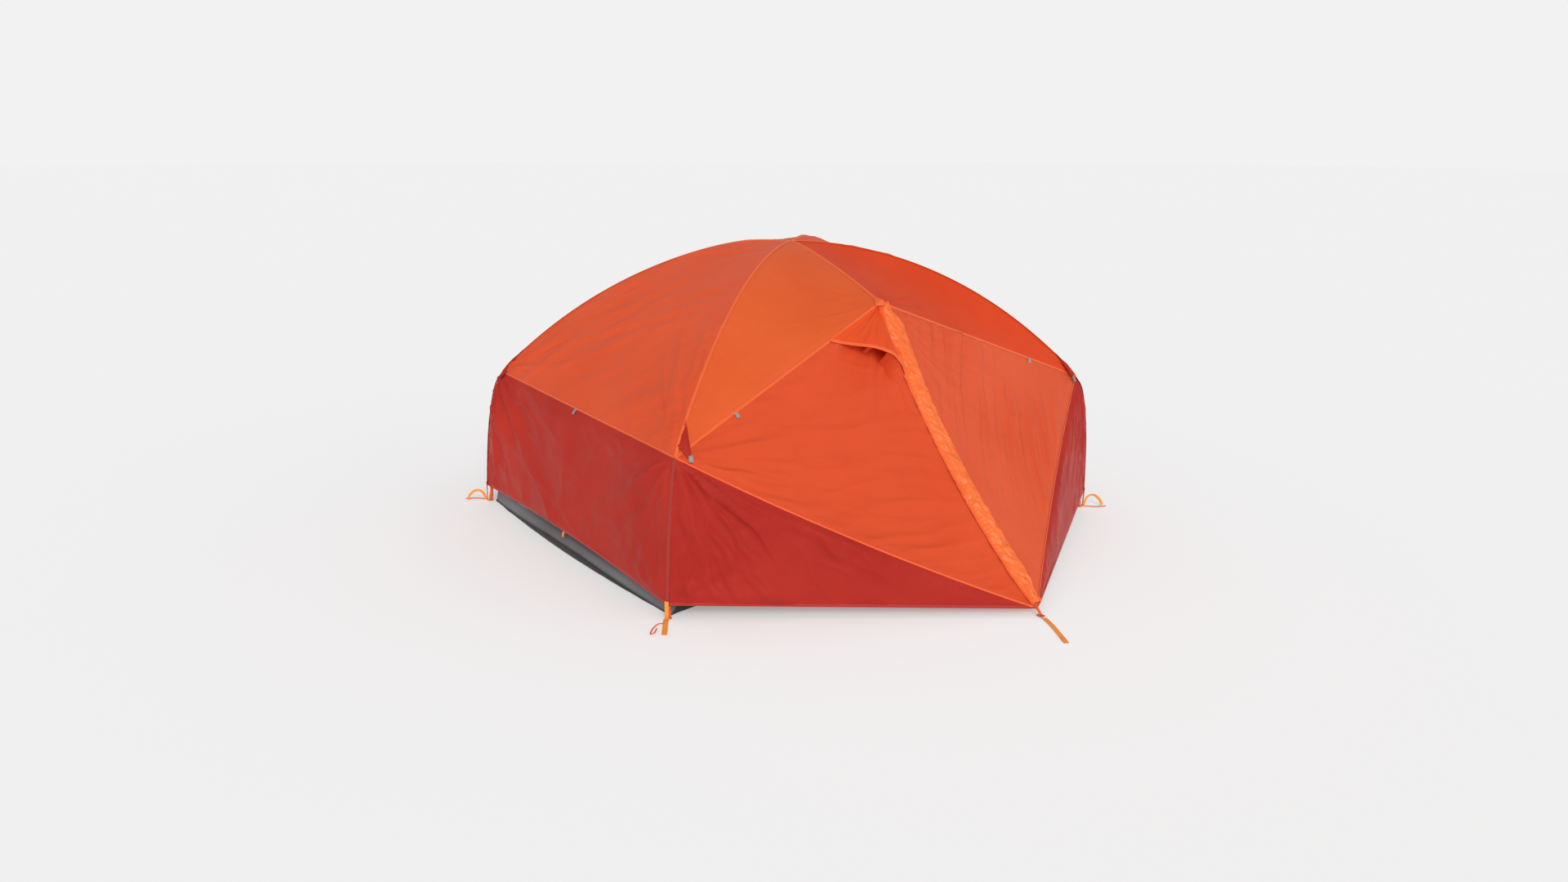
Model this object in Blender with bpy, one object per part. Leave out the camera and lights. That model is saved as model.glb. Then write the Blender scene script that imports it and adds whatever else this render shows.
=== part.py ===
"""Three-person dome tent, pitched: two crossed pre-bent poles and a short ridge pole carry an inner tent
with a tub floor, and a rain fly with a zipped vestibule on each long side.

Frame: +X along the floor's length, -Y out of the front vestibule, +Z up, origin on the ground under the
crown. The rear half is the front half turned 180 degrees about Z, so front_left matches rear_right.
"""

import math

import bmesh
import bpy
from mathutils import Matrix, Vector

# Driving dimensions, in metres
CROWN_HEIGHT = 1.25  # fly surface over the pole crossing
FLOOR_HALF_LENGTH = 1.166
FLOOR_HALF_WIDTH = 0.825
KNEE_REACH = 1.376  # distance of the poles' knees from the centre line
KNEE_DROP = 0.62  # height of the knees below the crown
ARCH_END = 1.33  # where the arch passes into the pre-bent knee
SEAM_HEIGHT = 0.63  # seam between the roof and the wall panels
HEM_REACH = 1.462
HEM_HEIGHT = 0.06
HEM_RISE = 0.025  # catenary rise of the end walls' hem
LEG_ANGLE = math.radians(81.2)
RIDGE_REACH = 0.614  # half length of the short ridge pole
RIDGE_DROP = 0.198
RIDGE_POWER = 1.3
STAKE_REACH = 1.594  # vestibule tip, from the centre line
STAKE_HEIGHT = 0.03
EDGE_SAG = 0.035  # catenary cut of the seam from a knee to the vestibule tip
ZIP_SAG = 0.062  # the zip line is an arc that hangs this far inside its chord

# Materials in section
CLOTH = 0.002
SEAM_GAP = 0.003  # each panel stops this far short of its seam
POLE_RADIUS = 0.00425
POLE_BORE = 0.0035
POLE_SIDES = 8
POLE_INSET = 0.0145  # main pole axis inside the fly
RIDGE_INSET = 0.009  # ridge pole axis below the fly
POLE_STACK = 0.0092  # axis distance of two poles that cross
CORD_RADIUS = 0.0014
JOINT_GAP = 0.0005  # between two pole sections on one ferrule
WEBBING = 0.012
LOOP_THICKNESS = 0.0022
LOOP_EYE = (0.016, 0.008)  # half length and half width of the opening for the stake
CORNER_LOOP = 0.12
TIP_LOOP = 0.20
CLEAR = 0.0005

# Details
SECTION_REACH = (0.45, 1.20)  # where the arch is divided into pole sections
ZIP_HALF_WIDTH = 0.006
ZIP_THICKNESS = 0.002
FLAP_HALF_WIDTH = 0.042
FLAP_HEIGHT = 0.016
FLAP_EDGE = 0.002  # height of the flap's long edges over the zip line
HOOD_ON_SEAM = 0.27  # share of the seam and of the zip line that the vent hood covers
HOOD_ON_ZIP = 0.20
HOOD_HEIGHT = 0.06
CREASE_SHARE = 0.20  # where the door's fold crosses the seam from the knee to the tip
INNER_GAP = 0.05  # inner tent below the poles
SILL_HEIGHT = 0.055
SILL_HALF_WIDTH = 0.80
WALL_TOP_HEIGHT = 0.59
INNER_PEAK = Vector((0, -0.56, 1.03))  # top of the front side wall
INNER_CROWN = 1.19

CORNER_ANGLE = math.atan2(FLOOR_HALF_WIDTH, FLOOR_HALF_LENGTH)
CORNERS = {
    "front_left": math.pi + CORNER_ANGLE,
    "front_right": -CORNER_ANGLE,
    "rear_right": CORNER_ANGLE,
    "rear_left": math.pi - CORNER_ANGLE,
}
TURNS = {"front": 0.0, "rear": math.pi}

COLOURS = {  # base colour, roughness, metallic
    "fly_orange": ((0.80, 0.13, 0.035, 1), 0.45, 0.0),
    "fly_red": ((0.42, 0.03, 0.025, 1), 0.45, 0.0),
    "floor_grey": ((0.085, 0.08, 0.08, 1), 0.6, 0.0),
    "wall_grey": ((0.15, 0.145, 0.155, 1), 0.6, 0.0),
    "mesh_grey": ((0.35, 0.35, 0.36, 1), 0.8, 0.0),
    "pole_alloy": ((0.55, 0.12, 0.05, 1), 0.3, 1.0),
    "webbing_orange": ((0.85, 0.28, 0.03, 1), 0.7, 0.0),
    "zip_coil": ((0.45, 0.06, 0.03, 1), 0.5, 0.0),
    "plastic_grey": ((0.12, 0.12, 0.12, 1), 0.4, 0.0),
    "cord_white": ((0.75, 0.75, 0.72, 1), 0.8, 0.0),
}


def clear_scene():
    for old in list(bpy.data.objects):
        bpy.data.objects.remove(old)


def make_materials():
    made = {}
    for name, (colour, roughness, metallic) in COLOURS.items():
        material = bpy.data.materials.new(name)
        material.use_nodes = True
        shader = material.node_tree.nodes["Principled BSDF"]
        shader.inputs["Base Color"].default_value = colour
        shader.inputs["Roughness"].default_value = roughness
        shader.inputs["Metallic"].default_value = metallic
        made[name] = material
    return made


def add(name, mesh, material, turn=0.0, smooth=True):
    """One named object for one physical piece, turned about the tent's centre line."""
    mesh.materials.clear()
    mesh.materials.append(MATERIALS[material])
    if smooth:
        mesh.shade_smooth()
        mesh.set_sharp_from_angle(angle=math.radians(35))
    made = bpy.data.objects.new(name, mesh)
    made.rotation_euler = (0, 0, turn)
    bpy.context.scene.collection.objects.link(made)
    return made


def mesh_from(bm, name):
    mesh = bpy.data.meshes.new(name)
    bm.to_mesh(mesh)
    bm.free()
    return mesh


# ---- Curves of the tent's shape -------------------------------------------------------------------------


def arch_height(reach):
    """Height of the fly over a main pole, between the crown and the knee."""
    share = reach / KNEE_REACH
    return CROWN_HEIGHT - KNEE_DROP * (0.91 * share**2 + 0.09 * share**4)


def fly_profile():
    """(reach, height) along a main pole from the crown over the knee to the hem."""
    arch = [(ARCH_END * i / 20, arch_height(ARCH_END * i / 20)) for i in range(21)]
    start = Vector(arch[-1])
    step = start - Vector(arch[-2])
    heading = math.atan2(-step.y, step.x)
    foot = Vector((HEM_REACH, HEM_HEIGHT))
    along_leg = Vector((-math.cos(LEG_ANGLE), math.sin(LEG_ANGLE)))
    swing = Vector(
        (math.sin(LEG_ANGLE) - math.sin(heading), math.cos(LEG_ANGLE) - math.cos(heading))
    )
    radius = (foot - start).cross(along_leg) / swing.cross(along_leg)
    knee = []
    for i in range(1, 7):
        angle = heading + (LEG_ANGLE - heading) * i / 6
        offset = (math.sin(angle) - math.sin(heading), math.cos(angle) - math.cos(heading))
        knee.append(tuple(start + radius * Vector(offset)))
    return [Vector(p) for p in arch + knee + [tuple(foot)]]


def lengths(points):
    total = [0.0]
    for a, b in zip(points, points[1:]):
        total.append(total[-1] + (b - a).length)
    return total


def walk(points, share):
    """The point at this share of a polyline's length."""
    total = lengths(points)
    wanted = share * total[-1]
    for i, (low, high) in enumerate(zip(total, total[1:])):
        if wanted <= high:
            return points[i].lerp(points[i + 1], (wanted - low) / (high - low))
    return points[-1].copy()


def split_at_height(points, height):
    """The profile above and below a height, which both get the point at that height."""
    for i, (a, b) in enumerate(zip(points, points[1:])):
        if b.y < height <= a.y:
            cut = a.lerp(b, (a.y - height) / (a.y - b.y))
            return points[: i + 1] + [cut], [cut] + points[i + 1 :]
    raise ValueError("the profile doesn't reach that height")


def inset_profile(points, distance):
    """The profile moved inwards, square to its own direction."""
    moved = []
    for i, here in enumerate(points):
        along = points[min(i + 1, len(points) - 1)] - points[max(i - 1, 0)]
        inward = Vector((along.y, -along.x)).normalized()
        moved.append(here + inward * distance)
    return moved


def at_corner(point, corner):
    """A (reach, height) point in the vertical plane through a corner."""
    angle = CORNERS[corner]
    return Vector((point.x * math.cos(angle), point.x * math.sin(angle), point.y))


def ridge_point(share):
    """The fly over the front half of the ridge pole, from the crown to its end."""
    return Vector((0, -RIDGE_REACH * share, CROWN_HEIGHT - RIDGE_DROP * share**RIDGE_POWER))


def zip_arc():
    """Centre, radius, half angle and (chord, outward) directions of the arc that the zip follows."""
    top, tip = ridge_point(1), Vector((0, -STAKE_REACH, STAKE_HEIGHT))
    span = (tip - top).length
    chord = (tip - top) / span
    outward = chord.cross(Vector((1, 0, 0)))
    radius = span**2 / (8 * ZIP_SAG) + ZIP_SAG / 2
    centre = (top + tip) / 2 + outward * (radius - ZIP_SAG)
    return centre, radius, math.asin(span / 2 / radius), chord, outward


def zip_frame(share):
    """Position, and the directions along the zip, across it and out of it, from its top to the tip."""
    centre, radius, half_angle, chord, outward = zip_arc()
    angle = (2 * share - 1) * half_angle
    out = outward * math.cos(angle) - chord * math.sin(angle)
    along = chord * math.cos(angle) + outward * math.sin(angle)
    return centre - out * radius, along, Vector((1, 0, 0)), out


def zip_point(share):
    return zip_frame(share)[0]


def seam_point(share, corner):
    """The seam from a knee to the vestibule's tip, which a catenary cut pulls inwards."""
    straight = at_corner(ROOF_EDGE[-1], corner).lerp(zip_point(1), share)
    return straight - Vector((0, -0.55, 0.83)) * (EDGE_SAG * 4 * share * (1 - share))


def hem_point(share, corner):
    return at_corner(WALL_EDGE[-1], corner).lerp(zip_point(1), share)


# ---- Sheets ---------------------------------------------------------------------------------------------


def grid_mesh(name, rows, skip=()):
    """A sheet through rows of points. Points that coincide are merged, and skip leaves (row, column) out."""
    bm = bmesh.new()
    verts = [[bm.verts.new(p) for p in row] for row in rows]
    for i in range(len(rows) - 1):
        for j in range(len(rows[0]) - 1):
            if (i, j) not in skip:
                bm.faces.new((verts[i][j], verts[i][j + 1], verts[i + 1][j + 1], verts[i + 1][j]))
    loose = [v for v in bm.verts if not v.link_faces]
    bmesh.ops.delete(bm, geom=loose, context="VERTS")
    bmesh.ops.remove_doubles(bm, verts=bm.verts, dist=1e-4)
    bmesh.ops.recalc_face_normals(bm, faces=bm.faces)
    away = sum((f.normal.dot(f.calc_center_median() - Vector((0, 0, 0.3))) for f in bm.faces))
    if away < 0:
        bmesh.ops.reverse_faces(bm, faces=bm.faces)
    return mesh_from(bm, name)


def add_sheet(name, mesh, material, turn=0.0, thickness=CLOTH):
    """A cloth panel: the mesh is its outer face, and its thickness lies inside."""
    made = add(name, mesh, material, turn, smooth=False)
    solid = made.modifiers.new("Cloth", "SOLIDIFY")
    solid.thickness = thickness
    solid.offset = -1
    solid.use_even_offset = False
    return made


def shorten(a, b, by_a, by_b):
    """The straight row from a to b, shortened at its two ends."""
    along = (b - a).normalized()
    return a + along * by_a, b - along * by_b


def ruled_rows(left, right, shares, columns, gap_left, gap_right):
    """Rows of points on straight lines between two curves, each a function of one share."""
    rows = []
    for share in shares:
        a, b = shorten(left(share), right(share), gap_left, gap_right)
        rows.append([a.lerp(b, j / columns) for j in range(columns + 1)])
    return rows


def spread(start, end, count):
    return [start + (end - start) * i / count for i in range(count + 1)]


# ---- Poles ----------------------------------------------------------------------------------------------


def tube_mesh(name, path, outer, inner):
    """A hollow tube along points of the XZ plane."""
    bm = bmesh.new()
    rings = {outer: [], inner: []}
    for i, here in enumerate(path):
        along = (path[min(i + 1, len(path) - 1)] - path[max(i - 1, 0)]).normalized()
        across = Vector((-along.z, 0, along.x))
        for radius, made in rings.items():
            ring = []
            for k in range(POLE_SIDES):
                angle = 2 * math.pi * k / POLE_SIDES
                side = across * math.cos(angle) + Vector((0, 1, 0)) * math.sin(angle)
                ring.append(bm.verts.new(here + side * radius))
            made.append(ring)
    for made in rings.values():
        for a, b in zip(made, made[1:]):
            for k in range(POLE_SIDES):
                n = (k + 1) % POLE_SIDES
                bm.faces.new((a[k], a[n], b[n], b[k]))
    for end in (0, -1):
        a, b = rings[outer][end], rings[inner][end]
        for k in range(POLE_SIDES):
            n = (k + 1) % POLE_SIDES
            bm.faces.new((a[k], a[n], b[n], b[k]))
    bmesh.ops.recalc_face_normals(bm, faces=bm.faces)
    return mesh_from(bm, name)


def rod_mesh(name, path, radius, sides=4):
    """A solid rod along points of the XZ plane."""
    bm = bmesh.new()
    rings = []
    for i, here in enumerate(path):
        along = (path[min(i + 1, len(path) - 1)] - path[max(i - 1, 0)]).normalized()
        across = Vector((-along.z, 0, along.x))
        made = []
        for k in range(sides):
            angle = 2 * math.pi * k / sides
            side = across * math.cos(angle) + Vector((0, 1, 0)) * math.sin(angle)
            made.append(bm.verts.new(here + side * radius))
        rings.append(made)
    for a, b in zip(rings, rings[1:]):
        for k in range(sides):
            bm.faces.new((a[k - 1], a[k], b[k], b[k - 1]))
    bm.faces.new(rings[0])
    bm.faces.new(rings[-1])
    bmesh.ops.recalc_face_normals(bm, faces=bm.faces)
    return mesh_from(bm, name)


def lathe_mesh(name, profile, sides=12):
    """A turned solid about Z from (radius, height) points, closed at both ends."""
    bm = bmesh.new()
    rings = []
    for radius, height in profile:
        ring = []
        for k in range(sides):
            angle = 2 * math.pi * k / sides
            ring.append(bm.verts.new((radius * math.cos(angle), radius * math.sin(angle), height)))
        rings.append(ring)
    for a, b in zip(rings, rings[1:]):
        for k in range(sides):
            n = (k + 1) % sides
            bm.faces.new((a[k], a[n], b[n], b[k]))
    bm.faces.new(rings[0])
    bm.faces.new(rings[-1])
    bmesh.ops.recalc_face_normals(bm, faces=bm.faces)
    return mesh_from(bm, name)


def crown_dip(reach, level):
    """How much lower a pole runs where others cross over it, fading out away from the crown."""
    below_others = RIDGE_INSET + level * POLE_STACK - POLE_INSET
    return below_others * math.exp(-((reach / 0.12) ** 2))


def make_poles():
    axis_line = inset_profile(fly_profile(), POLE_INSET)
    inner_reach, outer_reach = SECTION_REACH
    crown = [p for p in axis_line if p.x < inner_reach]
    side = [p for p in axis_line if inner_reach < p.x < outer_reach]
    leg = [p for p in axis_line if p.x > outer_reach]

    def on_line(reach):
        for a, b in zip(axis_line, axis_line[1:]):
            if a.x <= reach <= b.x:
                return a.lerp(b, (reach - a.x) / (b.x - a.x))
        raise ValueError("no pole there")

    def tube(name, points):
        return tube_mesh(name, [Vector((p.x, 0, p.y)) for p in points], POLE_RADIUS, POLE_BORE)

    half_gap = JOINT_GAP / 2
    side_path = [on_line(inner_reach + half_gap)] + side + [on_line(outer_reach - half_gap)]
    leg_path = [on_line(outer_reach + half_gap)] + leg
    side_mesh = tube("pole_side_section", side_path)
    leg_mesh = tube("pole_leg_section", leg_path)
    for corner, angle in CORNERS.items():
        add(f"pole_side_{corner}", side_mesh, "pole_alloy", angle)
        add(f"pole_leg_{corner}", leg_mesh, "pole_alloy", angle)
    for level, (pole, corner) in enumerate((("b", "rear_left"), ("a", "front_left")), start=1):
        half = crown + [on_line(inner_reach - half_gap)]
        path = [Vector((-p.x, p.y)) for p in reversed(half[1:])] + half
        dipped = [Vector((p.x, p.y - crown_dip(abs(p.x), level))) for p in path]
        add(f"pole_crown_{pole}", tube(f"pole_crown_{pole}", dipped), "pole_alloy", CORNERS[corner])
    make_shock_cords(axis_line)
    make_ridge_pole()
    make_pole_tips(leg_path)


def make_shock_cords(axis_line):
    """The elastic cord inside each main pole, which holds its sections together."""
    foot = axis_line[-1] + (axis_line[-2] - axis_line[-1]).normalized() * 0.022
    half = axis_line[:-1] + [foot]
    path = [Vector((-p.x, p.y)) for p in reversed(half[1:])] + half
    for level, (pole, corner) in enumerate((("b", "rear_left"), ("a", "front_left")), start=1):
        dipped = [Vector((p.x, 0, p.y - crown_dip(abs(p.x), level))) for p in path]
        mesh = rod_mesh(f"shock_cord_{pole}", dipped, CORD_RADIUS)
        add(f"shock_cord_{pole}", mesh, "cord_white", CORNERS[corner])


def make_ridge_pole():
    """The short pole that crosses over the main poles and holds up the tops of both vestibules."""
    half = [ridge_point(s) for s in spread(0, 0.975, 8)]
    path = [Vector((-p.y, 0, p.z - RIDGE_INSET)) for p in half]
    path = [Vector((-p.x, 0, p.z)) for p in reversed(path[1:])] + path
    mesh = tube_mesh("ridge_pole", path, POLE_RADIUS, POLE_BORE)
    add("ridge_pole", mesh, "pole_alloy", math.pi / 2)


def make_pole_tips(leg_path):
    """A turned tip in the foot of each leg, whose nose stands in the corner strap's eyelet."""
    foot, above = leg_path[-1], leg_path[-2]
    tilt = math.atan2(above.x - foot.x, above.y - foot.y)
    reach_to_ground = foot.y / math.cos(tilt) - 0.002
    profile = [
        (0.0030, 0.020),
        (0.0030, -CLEAR),
        (0.0045, -CLEAR),
        (0.0045, -0.006),
        (0.0033, -0.010),
        (0.0033, -reach_to_ground + 0.002),
        (0.0020, -reach_to_ground),
    ]
    mesh = lathe_mesh("pole_tip", profile)
    mesh.transform(Matrix.Translation((foot.x, 0, foot.y)) @ Matrix.Rotation(tilt, 4, "Y"))
    for corner, angle in CORNERS.items():
        add(f"pole_tip_{corner}", mesh, "plastic_grey", angle)


def make_crown_hanger():
    """The button that hangs the inner tent's crown from the pole crossing."""
    top = CROWN_HEIGHT - RIDGE_INSET - 2 * POLE_STACK - POLE_RADIUS - CLEAR
    profile = [
        (0.012, top),
        (0.012, top - 0.003),
        (0.005, top - 0.005),
        (0.005, INNER_CROWN + 0.006),
        (0.018, INNER_CROWN + 0.005),
        (0.018, INNER_CROWN + 0.002),
    ]
    add("crown_hanger", lathe_mesh("crown_hanger", profile), "plastic_grey")


# ---- Fly ------------------------------------------------------------------------------------------------


def roof_curve(corner):
    return lambda share: at_corner(walk(ROOF_EDGE, share), corner)


def wall_curve(corner):
    return lambda share: at_corner(walk(WALL_EDGE, share), corner)


def make_fly_ends():
    """The roof and the wall panel of each end, between the poles of two neighbouring corners."""
    roof = ruled_rows(
        roof_curve("front_left"), roof_curve("rear_left"), spread(0.012, 0.997, 12), 2, SEAM_GAP, SEAM_GAP
    )
    wall = ruled_rows(
        wall_curve("front_left"), wall_curve("rear_left"), spread(0.006, 1, 6), 6, SEAM_GAP, SEAM_GAP
    )
    for i, row in enumerate(wall):
        for j, point in enumerate(row):
            across = 2 * j / (len(row) - 1) - 1
            point.z += HEM_RISE * (1 - across**2) * i / (len(wall) - 1)
    roof_mesh = grid_mesh("fly_end_roof", roof)
    wall_mesh = grid_mesh("fly_end_wall", wall)
    for side, turn in (("left", 0.0), ("right", math.pi)):
        add_sheet(f"fly_end_roof_{side}", roof_mesh, "fly_orange", turn)
        add_sheet(f"fly_end_wall_{side}", wall_mesh, "fly_red", turn)


def make_fly_side_roofs():
    """The roof over each long side, two triangles that meet in a crease over the ridge pole."""
    shares = spread(0.014, 0.995, 9)
    left = ruled_rows(ridge_point, roof_curve("front_left"), shares, 2, 0, SEAM_GAP)
    right = ruled_rows(ridge_point, roof_curve("front_right"), shares, 2, 0, SEAM_GAP)
    rows = [list(reversed(a)) + b[1:] for a, b in zip(left, right)]
    mesh = grid_mesh("fly_side_roof", rows)
    for side, turn in TURNS.items():
        add_sheet(f"fly_side_roof_{side}", mesh, "fly_orange", turn)


def vestibule_rows(hand, shares, upper, lower, edge):
    """The vestibule half from the zip line over the seam to the hem, as rows towards its tip."""
    corner = f"front_{hand}"
    knee, foot = at_corner(WALL_EDGE[0], corner), at_corner(WALL_EDGE[-1], corner)
    rows = []
    for share in shares:
        seam, hem = seam_point(share, corner), hem_point(share, corner)
        start, _ = shorten(zip_point(share), seam, edge, 0)
        row = [start.lerp(seam, u) for u in upper]
        for u in lower:
            bow = at_corner(walk(WALL_EDGE, u), corner) - knee.lerp(foot, u)
            row.append(seam.lerp(hem, u) + bow * (1 - share))
        rows.append(row)
    return rows


def crease_plane():
    """A point on and the normal of the plane in which the front door folds back, facing the tip."""
    corner = "front_right"
    top = zip_point(0.03)
    bottom = hem_point(0.03, corner)
    middle = seam_point(CREASE_SHARE, corner)
    normal = (bottom - top).cross(middle - top).normalized()
    if normal.dot(zip_point(1) - top) < 0:
        normal.negate()
    return top, normal


def cut_sheet(mesh, name, point, normal):
    """A copy of the sheet with only what lies on the normal's side of the plane."""
    bm = bmesh.new()
    bm.from_mesh(mesh)
    everything = bm.verts[:] + bm.edges[:] + bm.faces[:]
    bmesh.ops.bisect_plane(bm, geom=everything, plane_co=point, plane_no=normal, clear_inner=True, dist=1e-6)
    return mesh_from(bm, name)


def make_vestibules():
    shares = [0.003, 0.04, 0.15, 0.30, 0.50, 0.70, 0.85, 0.975]
    upper = [0, 0.04, 0.17, 0.4, 0.7, 1]
    lower = [0.25, 0.5, 0.75, 1]
    edge = ZIP_HALF_WIDTH + 0.003
    vent = {(1, 1)}
    fixed = grid_mesh("vestibule_fixed", vestibule_rows("left", shares, upper, lower, edge), vent)
    add_sheet("vestibule_panel_front", fixed, "fly_orange")
    add_sheet("vestibule_panel_rear", fixed, "fly_orange", math.pi)

    whole = grid_mesh("vestibule_right", vestibule_rows("right", shares, upper, lower, edge))
    point, normal = crease_plane()
    jamb = cut_sheet(whole, "vestibule_jamb", point - normal * SEAM_GAP, -normal)
    door = cut_sheet(whole, "vestibule_door", point + normal * SEAM_GAP, normal)
    for side, turn in TURNS.items():
        add_sheet(f"vestibule_jamb_{side}", jamb, "fly_orange", turn)
        add_sheet(f"vestibule_door_{side}", door, "fly_orange", turn)


def zip_strip_mesh(name, shares, section):
    """A closed strip along the zip line from a closed (across, out) outline."""
    bm = bmesh.new()
    rings = []
    for share in shares:
        origin, _, across, out = zip_frame(share)
        rings.append([bm.verts.new(origin + across * a + out * h) for a, h in section])
    for low, high in zip(rings, rings[1:]):
        for k in range(len(section)):
            n = (k + 1) % len(section)
            bm.faces.new((low[k], low[n], high[n], high[k]))
    bm.faces.new(rings[0])
    bm.faces.new(rings[-1])
    bmesh.ops.recalc_face_normals(bm, faces=bm.faces)
    return mesh_from(bm, name)


def flap_section():
    """An arched strip: outer face from left to right, then the inner face back."""
    outer = []
    for across in spread(-FLAP_HALF_WIDTH, FLAP_HALF_WIDTH, 6):
        rise = math.cos(math.pi / 2 * across / FLAP_HALF_WIDTH)
        outer.append((across, FLAP_EDGE + (FLAP_HEIGHT - FLAP_EDGE) * rise))
    inner = [(a * 0.985, h - 0.0015) for a, h in reversed(outer)]
    return outer + inner


def slider_outline():
    """Side view of the zip slider with its pull tab lying along the zip: (along, out)."""
    base = ZIP_THICKNESS + 2 * CLEAR
    return [
        (-0.014, base),
        (0.014, base),
        (0.042, base),
        (0.042, base + 0.0015),
        (0.016, base + 0.0020),
        (0.010, base + 0.0060),
        (-0.008, base + 0.0065),
        (-0.014, base + 0.0030),
    ]


def make_zips_and_flaps():
    track = [
        (-ZIP_HALF_WIDTH, 0),
        (ZIP_HALF_WIDTH, 0),
        (ZIP_HALF_WIDTH, ZIP_THICKNESS),
        (-ZIP_HALF_WIDTH, ZIP_THICKNESS),
    ]
    track_mesh = zip_strip_mesh("zip_track", spread(0.012, 0.975, 24), track)
    flap_mesh = zip_strip_mesh("storm_flap", spread(0.008, 0.985, 8), flap_section())
    slider_mesh = extruded_mesh("zip_slider", slider_outline(), 0.008)
    origin, along, across, out = zip_frame(0.93)
    frame = Matrix((along, across, out)).transposed().to_4x4()
    slider_mesh.transform(Matrix.Translation(origin) @ frame)
    for side, turn in TURNS.items():
        add(f"zip_track_{side}", track_mesh, "zip_coil", turn)
        add(f"storm_flap_{side}", flap_mesh, "fly_orange", turn)
        add(f"zip_slider_{side}", slider_mesh, "plastic_grey", turn)


def plate_mesh(name, outlines, low, high, place=Vector):
    """A flat plate between two heights, from its outline and, after it, the outlines of its holes."""
    bm = bmesh.new()
    levels = []
    for height in (low, high):
        rings, edges = [], []
        for outline in outlines:
            ring_verts = [bm.verts.new(place((u, v, height))) for u, v in outline]
            edges += [bm.edges.new((ring_verts[k - 1], ring_verts[k])) for k in range(len(outline))]
            rings.append(ring_verts)
        bmesh.ops.triangle_fill(bm, use_beauty=True, edges=edges)
        levels.append(rings)
    for near, far in zip(*levels):
        for k in range(len(near)):
            bm.faces.new((near[k - 1], near[k], far[k], far[k - 1]))
    bmesh.ops.recalc_face_normals(bm, faces=bm.faces)
    return mesh_from(bm, name)


def extruded_mesh(name, outline, width):
    """A solid of this width along Y from a closed outline in the XZ plane."""
    bm = bmesh.new()
    near = [bm.verts.new((x, -width / 2, z)) for x, z in outline]
    far = [bm.verts.new((x, width / 2, z)) for x, z in outline]
    for k in range(len(outline)):
        n = (k + 1) % len(outline)
        bm.faces.new((near[k], near[n], far[n], far[k]))
    bm.faces.new(near)
    bm.faces.new(far)
    bmesh.ops.recalc_face_normals(bm, faces=bm.faces)
    return mesh_from(bm, name)


def hood_frame():
    """The vent hood's three corners on the fly and the direction out of the fly there."""
    top = zip_point(0.012)
    on_seam = ridge_point(1).lerp(at_corner(WALL_EDGE[0], "front_left"), HOOD_ON_SEAM)
    on_zip = zip_point(HOOD_ON_ZIP) + Vector((-FLAP_HALF_WIDTH - 0.004, 0, 0))
    top = top + Vector((-FLAP_HALF_WIDTH - 0.004, 0, 0))
    out = (on_zip - top).cross(on_seam - top).normalized()
    if out.z < 0:
        out.negate()
    return top, on_seam, on_zip, out


def make_vents():
    """A hood over each vent hole, and the stiff prop that holds its brim up."""
    top, on_seam, on_zip, out = hood_frame()
    lift = 0.006
    rows = []
    for a in spread(0.04, 1, 5):
        row = []
        for b in spread(0, 1, 8):
            flat = top.lerp(on_seam.lerp(on_zip, b), a)
            row.append(flat + out * (lift + HOOD_HEIGHT * math.sin(math.pi * b) * a**1.5))
        rows.append(row)
    hood_mesh = grid_mesh("vent_hood", rows)
    brim = on_seam.lerp(on_zip, 0.5)
    across = (on_zip - on_seam).normalized()
    down = (brim - top).normalized()
    base = brim + down * 0.004 + out * 0.004
    prop_mesh = box_mesh("vent_prop", 0.018, 0.0012, HOOD_HEIGHT - 0.004)
    frame = Matrix((across, out.cross(across), out)).transposed().to_4x4()
    prop_mesh.transform(Matrix.Translation(base) @ frame)
    for side, turn in TURNS.items():
        add_sheet(f"vent_hood_{side}", hood_mesh, "fly_orange", turn, 0.0015)
        add(f"vent_prop_{side}", prop_mesh, "plastic_grey", turn, smooth=False)


def box_mesh(name, x, y, z):
    """A box centred in X and Y that stands on the origin."""
    outline = [(-x / 2, 0), (x / 2, 0), (x / 2, z), (-x / 2, z)]
    return extruded_mesh(name, outline, y)


# ---- Inner tent -----------------------------------------------------------------------------------------


def floor_outline():
    """The tub floor's edge: its ends bow out and its long sides are cut in."""
    points = []
    count = 8
    for i in range(count):
        y = -FLOOR_HALF_WIDTH * (1 - 2 * i / count)
        points.append((FLOOR_HALF_LENGTH + 0.04 * (1 - (y / FLOOR_HALF_WIDTH) ** 2), y))
    for i in range(count):
        x = FLOOR_HALF_LENGTH * (1 - 2 * i / count)
        points.append((x, FLOOR_HALF_WIDTH - 0.04 * (1 - (x / FLOOR_HALF_LENGTH) ** 6)))
    return points + [(-x, -y) for x, y in points]


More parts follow.
